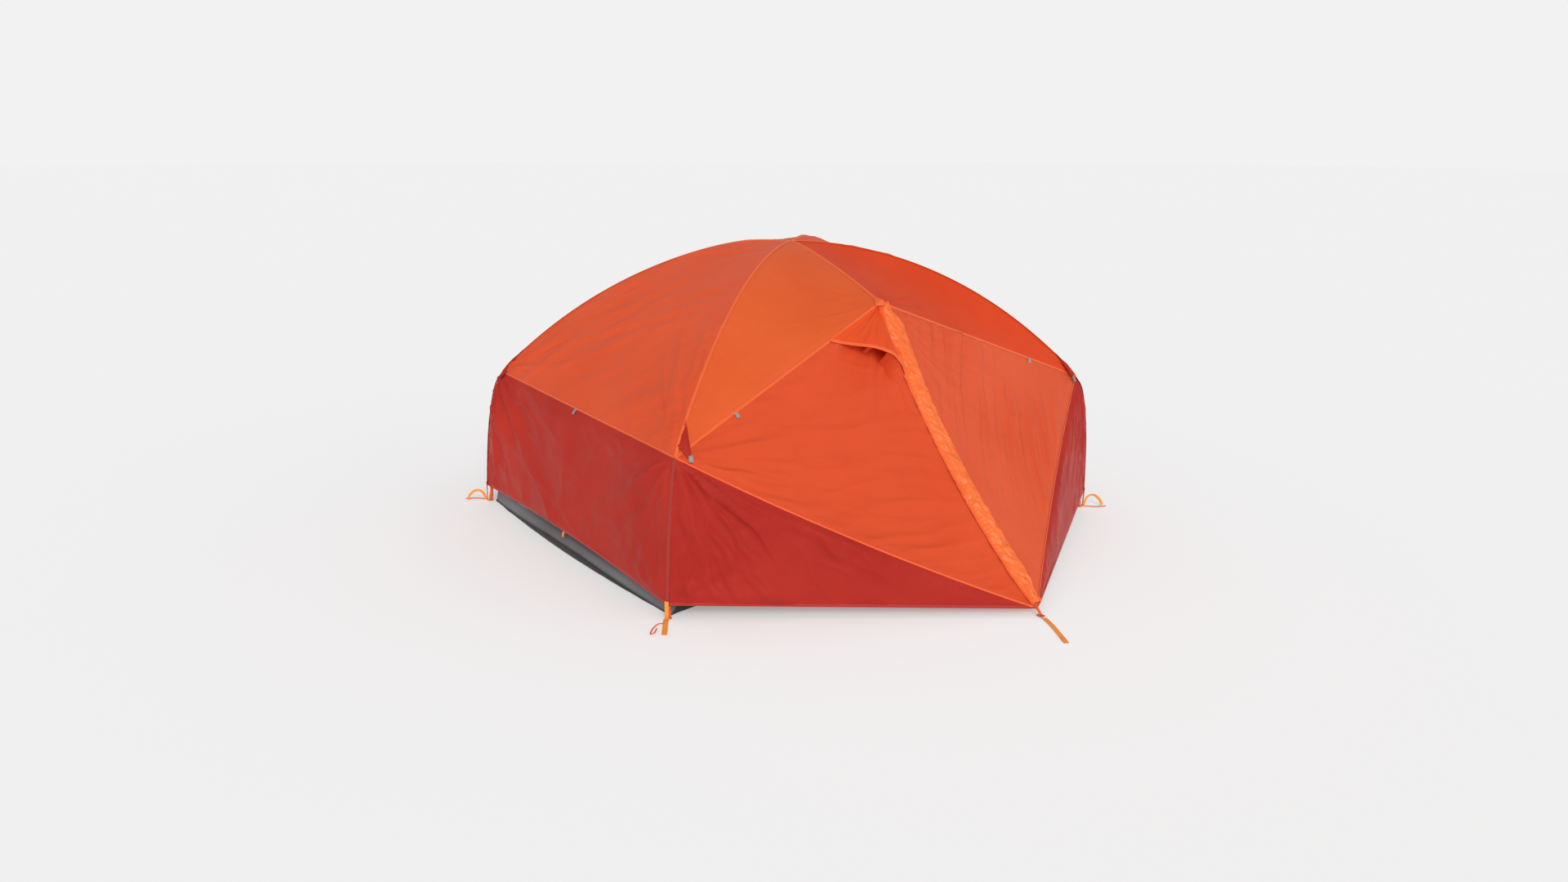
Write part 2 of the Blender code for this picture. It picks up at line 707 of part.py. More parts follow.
def make_floor():
    """A shallow tray of floor cloth, whose rim is highest in the middle of each side."""
    bm = bmesh.new()
    outline = floor_outline()
    thick = CLOTH
    levels = {"bottom": [], "rim_out": [], "rim_in": [], "inside": []}
    for x, y in outline:
        corner = max(abs(x) / FLOOR_HALF_LENGTH - 0.2, 0) * max(abs(y) / FLOOR_HALF_WIDTH - 0.2, 0)
        rim = 0.015 + 0.033 * max(0, 1 - corner / 0.64)
        inward = 1 - 0.004 / math.hypot(x, y)
        levels["bottom"].append(bm.verts.new((x, y, 0)))
        levels["rim_out"].append(bm.verts.new((x * 1.002, y * 1.002, rim)))
        levels["rim_in"].append(bm.verts.new((x * 1.002 * inward, y * 1.002 * inward, rim)))
        levels["inside"].append(bm.verts.new((x * inward, y * inward, thick)))
    rings = list(levels.values())
    for low, high in zip(rings, rings[1:]):
        for k in range(len(outline)):
            n = (k + 1) % len(outline)
            bm.faces.new((low[k], low[n], high[n], high[k]))
    bm.faces.new(levels["bottom"])
    bm.faces.new(levels["inside"])
    bmesh.ops.recalc_face_normals(bm, faces=bm.faces)
    add("tub_floor", mesh_from(bm, "tub_floor"), "floor_grey", smooth=False)


def side_wall_direction():
    """Unit direction up the front side wall, in its own plane."""
    return (INNER_PEAK - Vector((0, -SILL_HALF_WIDTH, SILL_HEIGHT))).normalized()


def on_side_wall(x, up):
    """A point of the front side wall's plane, this far up from the sill."""
    return Vector((x, -SILL_HALF_WIDTH, SILL_HEIGHT)) + side_wall_direction() * up


def door_outline(grow):
    """The D-shaped door in the side wall's plane: (x, up)."""
    hinge, width, half_height, middle = -0.40, 0.92, 0.30, 0.49
    points = []
    for i in range(15):
        angle = math.pi * i / 14
        swell = max(math.sin(angle), 0) ** 0.7
        up = middle - (half_height + grow) * math.cos(angle)
        points.append((hinge - grow + (width + 2 * grow) * swell, up))
    return points


def in_side_wall(point):
    """(x, up, depth) in the front side wall's plane as a point, where depth goes inwards."""
    inward = Vector((1, 0, 0)).cross(side_wall_direction()) * -1
    return on_side_wall(point[0], point[1]) + inward * point[2]


def wall_outline():
    """The whole side wall: (x, up), from the sill over the knees to the peak."""
    per_height = 1 / side_wall_direction().z
    knee = (WALL_TOP_HEIGHT - SILL_HEIGHT) * per_height
    peak = (INNER_PEAK.z - SILL_HEIGHT) * per_height
    return [(-1.12, 0), (1.12, 0), (1.03, knee), (0.03, peak), (-0.03, peak), (-1.03, knee)]


def make_side_walls():
    """Each long wall with the hole for its door, and the door in it."""
    outlines = [wall_outline(), door_outline(SEAM_GAP)]
    wall_mesh = plate_mesh("inner_side_wall", outlines, 0, CLOTH, in_side_wall)
    door_mesh = plate_mesh("inner_door", [door_outline(0)], 0, CLOTH, in_side_wall)
    for side, turn in TURNS.items():
        add(f"inner_side_wall_{side}", wall_mesh, "mesh_grey", turn, smooth=False)
        add(f"inner_door_{side}", door_mesh, "mesh_grey", turn, smooth=False)


def make_end_walls():
    rows = []
    for share in (0, 1):
        x = -1.165 + 0.10 * share
        half = 0.785 - 0.125 * share
        height = SILL_HEIGHT + (WALL_TOP_HEIGHT - SILL_HEIGHT) * share
        rows.append([Vector((x, y, height)) for y in (-half, half)])
    mesh = grid_mesh("inner_end_wall", rows)
    for side, turn in (("left", 0.0), ("right", math.pi)):
        add_sheet(f"inner_end_wall_{side}", mesh, "wall_grey", turn)


def make_inner_roof():
    """The mesh roof of the inner tent, hung a hand's breadth below the poles."""
    edge = inset_profile(ROOF_EDGE, INNER_GAP)
    crown = Vector((0, 0, INNER_CROWN))
    lowest = WALL_TOP_HEIGHT + 0.012
    rings = []
    for share in (0.35, 0.7, 1):
        pole = walk(edge, share)
        ring = []
        for corner in ("front_left", "ridge_front", "front_right", "rear_right", "ridge_rear", "rear_left"):
            if corner in CORNERS:
                point = at_corner(pole, corner)
                if share == 1:
                    point = Vector((math.copysign(1.03, point.x), math.copysign(0.655, point.y), lowest))
            else:
                point = crown.lerp(INNER_PEAK + Vector((0, 0.012, 0.012)), share)
                point.y *= 1 if corner == "ridge_front" else -1
            ring.append(point)
        rings.append(ring + [ring[0]])
    rows = [[crown] * 7] + rings
    add_sheet("inner_roof", grid_mesh("inner_roof", rows), "mesh_grey")


# ---- Webbing --------------------------------------------------------------------------------------------


def ring(radius_x, radius_y, centre=(0, 0), start=0.0, sweep=2 * math.pi, count=12):
    """Points of an ellipse, or of a part of it."""
    points = []
    for k in range(count):
        angle = start + sweep * k / count
        points.append((centre[0] + radius_x * math.cos(angle), centre[1] + radius_y * math.sin(angle)))
    return points


def stake_loop_mesh(name, start, length):
    """A strap along +X from its sewn end, with a loop for the stake at its far end, flat on the ground."""
    half, rim = WEBBING / 2, 0.0035
    eye = (start + length - LOOP_EYE[0] - rim, 0)
    round_end = ring(LOOP_EYE[0] + rim, LOOP_EYE[1] + rim, eye, -0.8 * math.pi, 1.6 * math.pi, 12)
    last = ring(LOOP_EYE[0] + rim, LOOP_EYE[1] + rim, eye, 0.8 * math.pi, 0, 1)
    outline = [(start, half), (start, -half)] + round_end + last
    return plate_mesh(name, [outline, ring(*LOOP_EYE, eye)], CLEAR, CLEAR + LOOP_THICKNESS)


def make_corner_straps():
    """At each corner a strap with an eyelet under the pole tip, and a loop of webbing for the stake."""
    foot = inset_profile(fly_profile(), POLE_INSET)[-1].x + 0.009
    half = 0.014
    outlines = [ring(half, half, (foot, 0)), ring(0.0062, 0.0062, (foot, 0))]
    strap = plate_mesh("corner_strap", outlines, CLEAR, CLEAR + LOOP_THICKNESS)
    loop = stake_loop_mesh("corner_stake_loop", foot + half + 0.004, CORNER_LOOP)
    for corner, angle in CORNERS.items():
        add(f"corner_strap_{corner}", strap, "webbing_orange", angle, smooth=False)
        add(f"stake_loop_{corner}", loop, "webbing_orange", angle, smooth=False)


def make_vestibule_straps():
    """At each vestibule tip a ladder lock and the webbing that runs from it to the stake."""
    half_width, half_length, slot = 0.010, 0.013, 0.0068
    frame = [
        (-half_length, -half_width),
        (half_length, -half_width),
        (half_length, half_width),
        (-half_length, half_width),
    ]
    slots = [[(x, -slot), (x + 0.007, -slot), (x + 0.007, slot), (x, slot)] for x in (-0.0095, 0.0025)]
    lock = plate_mesh("ladder_lock", [frame] + slots, 0, 0.004)
    lock.transform(Matrix.Translation((STAKE_REACH + 0.018, 0, 0.006)))
    start = STAKE_REACH + 0.018 + half_length + 0.003
    loop = stake_loop_mesh("vestibule_stake_loop", start, TIP_LOOP)
    for side, turn in TURNS.items():
        out = turn - math.pi / 2
        add(f"stake_loop_vestibule_{side}", loop, "webbing_orange", out, smooth=False)
        add(f"ladder_lock_{side}", lock, "plastic_grey", out, smooth=False)


clear_scene()
MATERIALS = make_materials()
ROOF_EDGE, WALL_EDGE = split_at_height(fly_profile(), SEAM_HEIGHT)
make_poles()
make_crown_hanger()
make_fly_ends()
make_fly_side_roofs()
make_vestibules()
make_zips_and_flaps()
make_vents()
make_floor()
make_side_walls()
make_end_walls()
make_inner_roof()
make_corner_straps()
make_vestibule_straps()
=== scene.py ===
"""Looks of the pitched dome tent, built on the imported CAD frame: wrinkled cloth, seams, webbing, inner tent,
studio. Lengths are in metres, +X runs along the floor and -Y out of the front vestibule."""

import math
from contextlib import contextmanager

import bmesh
import bpy
import numpy as np
from mathutils import Matrix, Vector


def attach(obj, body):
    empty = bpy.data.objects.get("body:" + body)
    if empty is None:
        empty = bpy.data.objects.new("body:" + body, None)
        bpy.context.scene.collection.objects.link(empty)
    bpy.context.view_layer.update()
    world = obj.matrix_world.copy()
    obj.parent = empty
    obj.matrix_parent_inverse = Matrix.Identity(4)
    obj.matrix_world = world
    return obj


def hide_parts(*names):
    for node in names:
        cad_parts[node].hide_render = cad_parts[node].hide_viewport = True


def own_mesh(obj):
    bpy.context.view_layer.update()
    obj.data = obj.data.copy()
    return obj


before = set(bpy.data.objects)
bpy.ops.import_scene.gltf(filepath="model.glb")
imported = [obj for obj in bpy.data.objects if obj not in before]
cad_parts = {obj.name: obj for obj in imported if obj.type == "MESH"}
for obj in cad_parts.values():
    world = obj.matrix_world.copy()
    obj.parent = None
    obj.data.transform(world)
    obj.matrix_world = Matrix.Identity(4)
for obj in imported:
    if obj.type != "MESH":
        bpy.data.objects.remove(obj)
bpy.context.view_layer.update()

# The fly's driving dimensions, as in the CAD model
CROWN_HEIGHT = 1.25
KNEE_REACH, KNEE_DROP, ARCH_END = 1.376, 0.62, 1.33
SEAM_HEIGHT, KNEE_STEP = 0.63, 0.018  # the knees' mean height, and what they stand above and below it
LEG_BOW, HEM_FLARE, CORNER_RISE = 0.022, 0.008, 0.020
HEM_REACH, HEM_HEIGHT, HEM_RISE = 1.462, 0.06, 0.025
LEG_ANGLE = math.radians(81.2)
RIDGE_REACH, RIDGE_DROP, RIDGE_POWER = 0.614, 0.198, 1.3
TIP = np.array([0, -1.594, 0.03])
EDGE_SAG, ZIP_SAG = 0.035, 0.062
CREASE_SHARE = 0.20  # where the seam above the lower panel crosses the door's crease
HANG_ANGLE = 58  # of the door's folds, from level on its flat cloth
FLOOR_HALF_LENGTH, FLOOR_HALF_WIDTH = 1.166, 0.825
CORNER_ANGLE = math.atan2(FLOOR_HALF_WIDTH, FLOOR_HALF_LENGTH)
HOOD_ON_SEAM, HOOD_ON_ZIP, HOOD_HEIGHT, GUSSET_FROM = 0.27, 0.225, 0.086, 0.64
VENT_DOWN, VENT_ACROSS = (0.045, 0.105), (0.04, 0.12)  # its opening, as shares of the panel
FLAP_LENGTH, FLAP_CRINKLE, HOOD_RIPPLE = 1.42, 0.012, 0.011
INNER_GAP, NET_DEPTH = 0.05, 0.001  # from the poles to the inner tent, and from its tapes to its netting
SILL_HEIGHT, SILL_HALF_WIDTH, WALL_TOP_HEIGHT = 0.055, 0.80, 0.59
SKIRT_INSET, SKIRT_TOP = (1.163, 0.799), 0.062
INNER_PEAK, INNER_CROWN = np.array([0, -0.56, 1.03]), 1.19
DOOR_HINGE, DOOR_WIDTH, DOOR_MIDDLE, DOOR_HALF_HEIGHT = -0.40, 0.92, 0.49, 0.30
POLE_FOOT, LOOP_START, HINGE_HEIGHT = 1.4567, 1.4770, 0.0016
DOOR_KEPT, HOOD_KEPT, LOOP_KEPT = 0.13, 0.42, 0.04  # share of their depth that folding cloth and webbing keep

FINE = 132  # cells along each side of a large cloth panel
SEAM_HOLD = 0.022  # how near to a seam the cloth's folds fade
SEAM_ALLOWANCE = 1.02  # the cuts' size over the sewn panels'
REAR_RISE, RISE_PLACE, RISE_REACH = 0.042, (0.09, 0.42), 0.36  # where the roof stands up behind the crown

# Widths of the tapes, and how far they stand out
POLE_SEAM, RIDGE_SEAM, END_SEAM = (0.013, 0.0022), (0.012, 0.0022), (0.009, 0.0018)
LOWER_SEAM, LEG_SEAM, HEM, ZIP_HALF = (0.007, 0.0018), (0.015, 0.0018), (0.013, 0.0014), (0.015, 0.0016)

RIPSTOP = 0.005  # spacing of the cloth's thicker threads
SHINE, SHEEN = (1, 0.72, 0.6, 1), 0.16  # tint of the cloth's highlights, and weight of its sheen
BACKDROP, SKY_LIGHT, FLOOR_TONE, FLOOR_GLOW = 0.887, 0.48, 0.72, 0.27
KEY_POWER, FILL_POWER = 1.9, 0.35

LEFT, RIGHT = -1, 1
HANDS = {LEFT: "left", RIGHT: "right"}
UP = np.array([0.0, 0.0, 1.0])


# ---- Points and curves ----


def stack(*parts):
    """These along a new last axis, spread to one shape."""
    return np.stack(np.broadcast_arrays(*parts), -1)


def shares(count):
    return np.linspace(0, 1, count)


def mix(a, b, share):
    share = np.asarray(share, float)[..., None]
    return np.asarray(a) * (1 - share) + np.asarray(b) * share


def unit(vector):
    return np.asarray(vector, float) / np.linalg.norm(vector, axis=-1, keepdims=True)


def smooth_step(x):
    x = np.clip(x, 0, 1)
    return x * x * (3 - 2 * x)


def run_of(line):
    """How far along the line each of its points lies."""
    return np.append(0, np.cumsum(np.linalg.norm(np.diff(line, axis=0), axis=1)))


def resample(line, share):
    """Points at these shares of a line's length."""
    run = run_of(line)
    wanted = np.asarray(share, float) * run[-1]
    return np.stack([np.interp(wanted, run, column) for column in np.transpose(line)], -1)


def fly_profile():
    """(reach, height) of the fly over a main pole: arch, knee, and a leg that the cloth bows out over."""
    reach = np.linspace(0, ARCH_END, 121)
    fallen = (reach / KNEE_REACH) ** 2
    arch = stack(reach, CROWN_HEIGHT - KNEE_DROP * (0.91 * fallen + 0.09 * fallen**2))
    foot = np.array([HEM_REACH, HEM_HEIGHT])
    leg = (-math.cos(LEG_ANGLE), math.sin(LEG_ANGLE))
    step = arch[-1] - arch[-2]
    heading = math.atan2(-step[1], step[0])
    angle = heading + (LEG_ANGLE - heading) * shares(25)
    turned = stack(np.sin(angle), np.cos(angle)) - (math.sin(heading), math.cos(heading))
    radius = np.linalg.det([foot - arch[-1], leg]) / np.linalg.det([turned[-1], leg])
    knee = arch[-1] + radius * turned[1:]
    whole = np.concatenate([arch, knee, mix(knee[-1], foot, shares(40)[1:])])
    below = np.clip((SEAM_HEIGHT - whole[:, 1]) / (SEAM_HEIGHT - HEM_HEIGHT), 0, 1)
    whole[:, 0] += LEG_BOW * np.sin(np.pi * below**0.7) + HEM_FLARE * below
    return whole


def split_profile(height, hem_rise):
    """The fly's profile above this height, and below it down to the hem, which may stand higher."""
    row = int(np.argmax(PROFILE[:, 1] < height))
    above, below = PROFILE[row - 1], PROFILE[row]
    knee = mix(above, below, (above[1] - height) / (above[1] - below[1]))
    kept = 1 - hem_rise / (height - HEM_HEIGHT)
    wall = resample(np.vstack([knee, PROFILE[row:]]), np.linspace(0, kept, 90))
    return np.vstack([PROFILE[:row], knee]), wall


PROFILE = fly_profile()
EDGES = {
    LEFT: split_profile(SEAM_HEIGHT - KNEE_STEP, 0),
    RIGHT: split_profile(SEAM_HEIGHT + KNEE_STEP, CORNER_RISE),
}


def at_corner(points, hand, side=-1):
    """(reach, height) points in the upright plane through a corner. hand is the sign of X, side that of Y."""
    reach = points[..., 0]
    x, y = reach * math.cos(CORNER_ANGLE) * hand, reach * math.sin(CORNER_ANGLE) * side
    return stack(x, y, points[..., 1])


def roof_edge(share, hand, side=-1):
    return at_corner(resample(EDGES[-hand * side][0], share), hand, side)


def wall_edge(share, hand, side=-1):
    return at_corner(resample(EDGES[-hand * side][1], share), hand, side)


def ridge(share):
    share = np.asarray(share, float)
    return stack(0.0, -RIDGE_REACH * share, CROWN_HEIGHT - RIDGE_DROP * share**RIDGE_POWER)


def end_line(share, down=0.0):
    """Across the left end from its front corner to its rear one: down is 0 at the knees and 1 at the hem."""
    return mix(wall_edge(down, LEFT), wall_edge(down, LEFT, 1), share)


def top_seam(share, hand):
    """The seam over the vestibule, from the ridge's end to a knee."""
    return mix(ridge(1.0), wall_edge(0.0, hand), share)


def zip_frame(share):
    """Points and directions outwards on the zip's arc, from the ridge's end to the tip."""
    top = ridge(1.0)
    span = np.linalg.norm(TIP - top)
    chord = (TIP - top) / span
    outward = np.cross(chord, [1.0, 0, 0])
    radius = span**2 / (8 * ZIP_SAG) + ZIP_SAG / 2
    centre = (top + TIP) / 2 + outward * (radius - ZIP_SAG)
    angle = ((2 * np.asarray(share, float) - 1) * math.asin(span / 2 / radius))[..., None]
    out = outward * np.cos(angle) - chord * np.sin(angle)
    return centre - out * radius, out


def zip_line(share):
    return zip_frame(share)[0]


def seam_line(share, hand):
    """The seam between a vestibule half's two panels, from the knee to the tip."""
    share = np.asarray(share, float)
    sag = EDGE_SAG * 4 * share * (1 - share)
    return mix(wall_edge(0.0, hand), TIP, share) - np.array([0, -0.55, 0.83]) * sag[..., None]


def hem_line(share, hand):
    return mix(wall_edge(1.0, hand), TIP, share)


# ---- Noise and wrinkles ----


def noise(x, y, seed):
    """Gradient noise in about -1 to 1, one cell to a unit."""
    table = np.random.RandomState(seed).rand(64, 64) * 2 * np.pi
    xi, yi = np.floor(x).astype(int), np.floor(y).astype(int)
    total = 0
    for dx in (0, 1):
        for dy in (0, 1):
            angle = table[(xi + dx) % 64, (yi + dy) % 64]
            rx, ry = x - xi - dx, y - yi - dy
            wx, wy = 1 - np.abs(rx), 1 - np.abs(ry)
            weight = wx**3 * (wx * (6 * wx - 15) + 10) * wy**3 * (wy * (6 * wy - 15) + 10)
            total = total + (np.cos(angle) * rx + np.sin(angle) * ry) * weight
    return total * 1.5


def crest(n, sharp):
    """Narrow rounded crests along the lines where the noise is zero."""
    return np.clip(1 - np.abs(n) * sharp, 0, 1) ** 2


def folds(n):
    """Folds that stand out of the cloth between shallower hollows."""
    return np.where(n > 0, n, 0.35 * n)


def hump(share):
    """0 at both ends of the share and 1 in its middle."""
    return np.sin(np.pi * share)


class Panel:
    """A grid of points on the fly with what wrinkles need: normals, flat coordinates and distances to edges.

    Its rows run from start to end, and its columns from near to far. Wrinkles' sizes are in metres.
    """

    def __init__(self, points):
        self.points = points
        normal = np.cross(np.gradient(points, axis=1), np.gradient(points, axis=0))
        size = np.linalg.norm(normal, axis=-1, keepdims=True)
        whole = unit((normal / np.maximum(size, 1e-12)).sum((0, 1)))
        normal = np.where(size > 1e-9, normal / np.maximum(size, 1e-12), whole)
        outwards = math.copysign(1, np.mean((points - [0, 0, 0.3]) @ whole))
        self.normal, whole = normal * outwards, whole * outwards
        level = unit(np.cross(UP, whole))
        away = points - points.mean((0, 1))
        self.flat = stack(away @ level, away @ np.cross(whole, level))
        self.edges = {
            "start": self.edge(points[:1], 1),
            "end": self.edge(points[-1:], 1),
            "near": self.edge(points[:, :1], 0),
            "far": self.edge(points[:, -1:], 0),
        }

    def edge(self, line, axis):
        """Each point's place along an edge, and its distance from it."""
        steps = np.linalg.norm(np.diff(line, axis=axis), axis=-1)
        along = np.cumsum(np.insert(steps, 0, 0, axis), axis)
        return np.broadcast_to(along, self.points.shape[:2]), np.linalg.norm(self.points - line, axis=-1)

    def streaks(self, angle, spacing, length, height, seed, wander=0.35):
        """Long folds side by side. angle is in degrees from level."""
        c, s = math.cos(math.radians(angle)), math.sin(math.radians(angle))
        along = self.flat[..., 0] * c + self.flat[..., 1] * s
        across = self.flat[..., 1] * c - self.flat[..., 0] * s
        across = across + wander * spacing * noise(along / 0.22, across / 0.22, seed + 1)
        patch = np.clip(0.45 + noise(along / 0.45, across / 0.3, seed + 2), 0, 1)
        shape = folds(noise(along / length, across / spacing, seed))
        shape += 0.35 * crest(noise(along / length, across / spacing + 7.3, seed), 2.4)
        return height * shape * patch

    def fan(self, row, column, spread, reach, height, seed):
        """Folds that spread from one corner. spread is the angle between them, in radians."""
        away = self.flat - self.flat[row, column]
        radius = np.hypot(away[..., 0], away[..., 1])
        angle = np.arctan2(away[..., 1], away[..., 0])
        angle = angle + 0.3 * spread * noise(radius / 0.15, angle / spread, seed + 1)
        fade = np.exp(-radius / reach) * (1 - np.exp(-((radius / 0.04) ** 2)))
        shape = folds(noise(angle / spread, radius / 0.5, seed))
        shape += 0.4 * crest(noise(angle / spread + 4.1, radius / 0.4, seed), 2.0)
        return height * shape * fade

    def gathers(self, name, spacing, reach, height, seed, lean=0.0):
        """Pleats that start at an edge and fade into the panel."""
        along, distance = self.edges[name]
        shape = noise((along + lean * distance) / spacing, distance / (2.5 * reach), seed)
        fade = np.exp(-distance / reach) * np.clip(0.6 + noise(along / 0.13, 0, seed + 3), 0.1, 1.2)
        return height * shape * fade

    def crumple(self, size, height, seed):
        """The faint folds that packing leaves, in all directions."""
        x, y = self.flat[..., 0] / size, self.flat[..., 1] / size
        x, y = x + 0.4 * noise(x, y, seed + 1), y + 0.4 * noise(x, y, seed + 2)
        return height * (crest(noise(x, y, seed), 2.2) - crest(noise(x + 9, y * 1.3, seed + 4), 2.2))

    def sag(self, depth):
        rows, columns = self.points.shape[:2]
        return -depth * hump(shares(rows))[:, None] * hump(shares(columns))


# ---- Meshes ----


def place(name, data, *materials):
    """A new object in the scene."""
    for material in materials:
        data.materials.append(material)
    data.name = name
    made = bpy.data.objects.new(name, data)
    bpy.context.scene.collection.objects.link(made)
    return made


@contextmanager
def editing(mesh):
    """The mesh as a BMesh, written back at the end."""
    bm = bmesh.new()
    bm.from_mesh(mesh)
    yield bm
    bm.to_mesh(mesh)
    bm.free()


def add_uv(mesh, layer, flat):
    """A UV layer from one pair of coordinates for each vertex."""
    corners = np.zeros(len(mesh.loops), int)
    mesh.loops.foreach_get("vertex_index", corners)
    pairs = flat.reshape(-1, 2)[corners].astype(np.float32)
    mesh.uv_layers.new(name=layer).data.foreach_set("uv", pairs.ravel())


def grid_object(name, points, material, flat, seam=None, keep=None):
    """A cloth surface through a grid of points, with its flat coordinates in metres as UVs."""
    rows, columns = points.shape[:2]
    index = np.arange(rows * columns).reshape(rows, columns)
    quads = np.stack([index[:-1, :-1], index[:-1, 1:], index[1:, 1:], index[1:, :-1]], -1)
    if keep is not None:
        quads = quads[keep.ravel()[quads].all(-1)]
    mesh = bpy.data.meshes.new(name)
    mesh.from_pydata(points.reshape(-1, 3).tolist(), [], quads.reshape(-1, 4).tolist())
    add_uv(mesh, "UVMap", flat)
    if seam is not None:
        add_uv(mesh, "Seam", seam)
    mesh.shade_smooth()
    return place(name, mesh, material)


def merge_points(piece, distance=1e-4):
    with editing(piece.data) as bm:
        bmesh.ops.remove_doubles(bm, verts=bm.verts, dist=distance)
        loose = [v for v in bm.verts if not v.link_faces]
        bmesh.ops.delete(bm, geom=loose, context="VERTS")
        bmesh.ops.recalc_face_normals(bm, faces=bm.faces)


def join(name, pieces):
    """One piece from several of the same material."""
    joined, *others = pieces
    with editing(joined.data) as bm:
        for other in others:
            bm.from_mesh(other.data)
    for other in others:
        bpy.data.objects.remove(other)
    joined.name = joined.data.name = name
    return joined


def cut(piece, name, point, normal):
    """A copy of the piece with only what lies on the normal's side of the plane."""
    made = place(name, piece.data.copy())
    with editing(made.data) as bm:
        everything = bm.verts[:] + bm.edges[:] + bm.faces[:]
        plane = {"plane_co": point, "plane_no": normal, "dist": 1e-6}
        bmesh.ops.bisect_plane(bm, geom=everything, clear_inner=True, **plane)
    return made


def ribbon(name, line, out, width, lift, material, thick=0.0):
    """A strip along a line, this wide square to the line and to out, whose middle stands lift out of it.

    Without thick it is one surface, whose long edges lie on the cloth.
    """
    along = np.gradient(np.asarray(line, float), axis=0)
    side = unit(np.cross(along, out))
    out = unit(np.cross(side, along))
    across = np.array([-1, -0.9, -0.5, 0, 0.5, 0.9, 1]) * width / 2
    height = np.array([0, 0.9, 1, 1, 1, 0.9, 0]) * lift
    if thick:
        height = np.repeat([lift + thick, lift, lift + thick], [7, 7, 1])
        across = np.concatenate([across, across[::-1], across[:1]])
    points = line[:, None] + side[:, None] * across[:, None] + out[:, None] * height[:, None]
    made = grid_object(name, points, material, stack(run_of(line)[:, None], across))
    if thick:
        merge_points(made, 1e-6)
    return made


# ---- The copy across the tent, and the frame ----

SWAP = {"front": "rear", "rear": "front", "left": "right", "right": "left"}


def opposite(name):
    """The name of what lies where this lies after half a turn round the tent."""
    return "_".join(SWAP.get(word, word) for word in name.split("_"))


def rear_rise(piece):
    """Lifts what lies on the roof behind the crown, where the ridge pole stands higher than in front."""
    for vertex in piece.data.vertices:
        x, y, z = vertex.co
        away = ((x - RISE_PLACE[0]) ** 2 + (y - RISE_PLACE[1]) ** 2) / RISE_REACH**2
        if y > 0 and z > 0.9 and away < 9:
            vertex.co.z += REAR_RISE * math.exp(-away) * min(1.0, y / 0.12)


def area_of(piece):
    return sum(face.area for face in piece.data.polygons)


def flat_size(piece):
    """Width, length and area of the cut that this cloth was sewn from."""
    flat = np.zeros(2 * len(piece.data.loops), np.float32)
    piece.data.uv_layers["UVMap"].data.foreach_get("uv", flat)
    flat = flat.reshape(-1, 2).astype(float)
    axes = np.linalg.eigh(np.cov(flat.T))[1]
    size = np.ptp(flat @ axes, axis=0) * SEAM_ALLOWANCE
    area = area_of(piece)
    size *= max(1, math.sqrt(area / size.prod()))  # a gathered strip is cut larger than where it lies
    return *size.tolist(), area


def put(piece, nodes=(), body="tent"):
    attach(piece, body)
    if nodes:
        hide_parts(*nodes)


def settle(piece, slot, nodes=(), body="tent", fold=None, held=None):
    """Puts the piece and its copy across the tent on their bodies, in place of these CAD nodes.

    fold is (joint, axis, anchor, share kept) for cloth that gathers, but it only gives the piece a mesh of its
    own. held is how a sheet is held and by what, and only the cut's size is worked out from it.
    """
    copy = place(opposite(piece.name), piece.data.copy())
    copy.data.transform(Matrix.Rotation(math.pi, 4, "Z"))
    if slot in ("fly_orange", "fly_red"):
        rear_rise(piece)
        rear_rise(copy)
    for item, name_of, turn in ((piece, str, (1, 1, 1)), (copy, opposite, (-1, -1, 1))):
        put(item, [name_of(node) for node in nodes], name_of(body))
        if fold:
            joint, axis, anchor, keep = fold
            axis, anchor = (np.multiply(vector, turn).tolist() for vector in (axis, anchor))
            name_of(joint)
            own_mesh(item)
            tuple(axis)
            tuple(anchor)
        if held:
            width, length, area = flat_size(item)
            name_of(held[1])


# ---- Materials ----


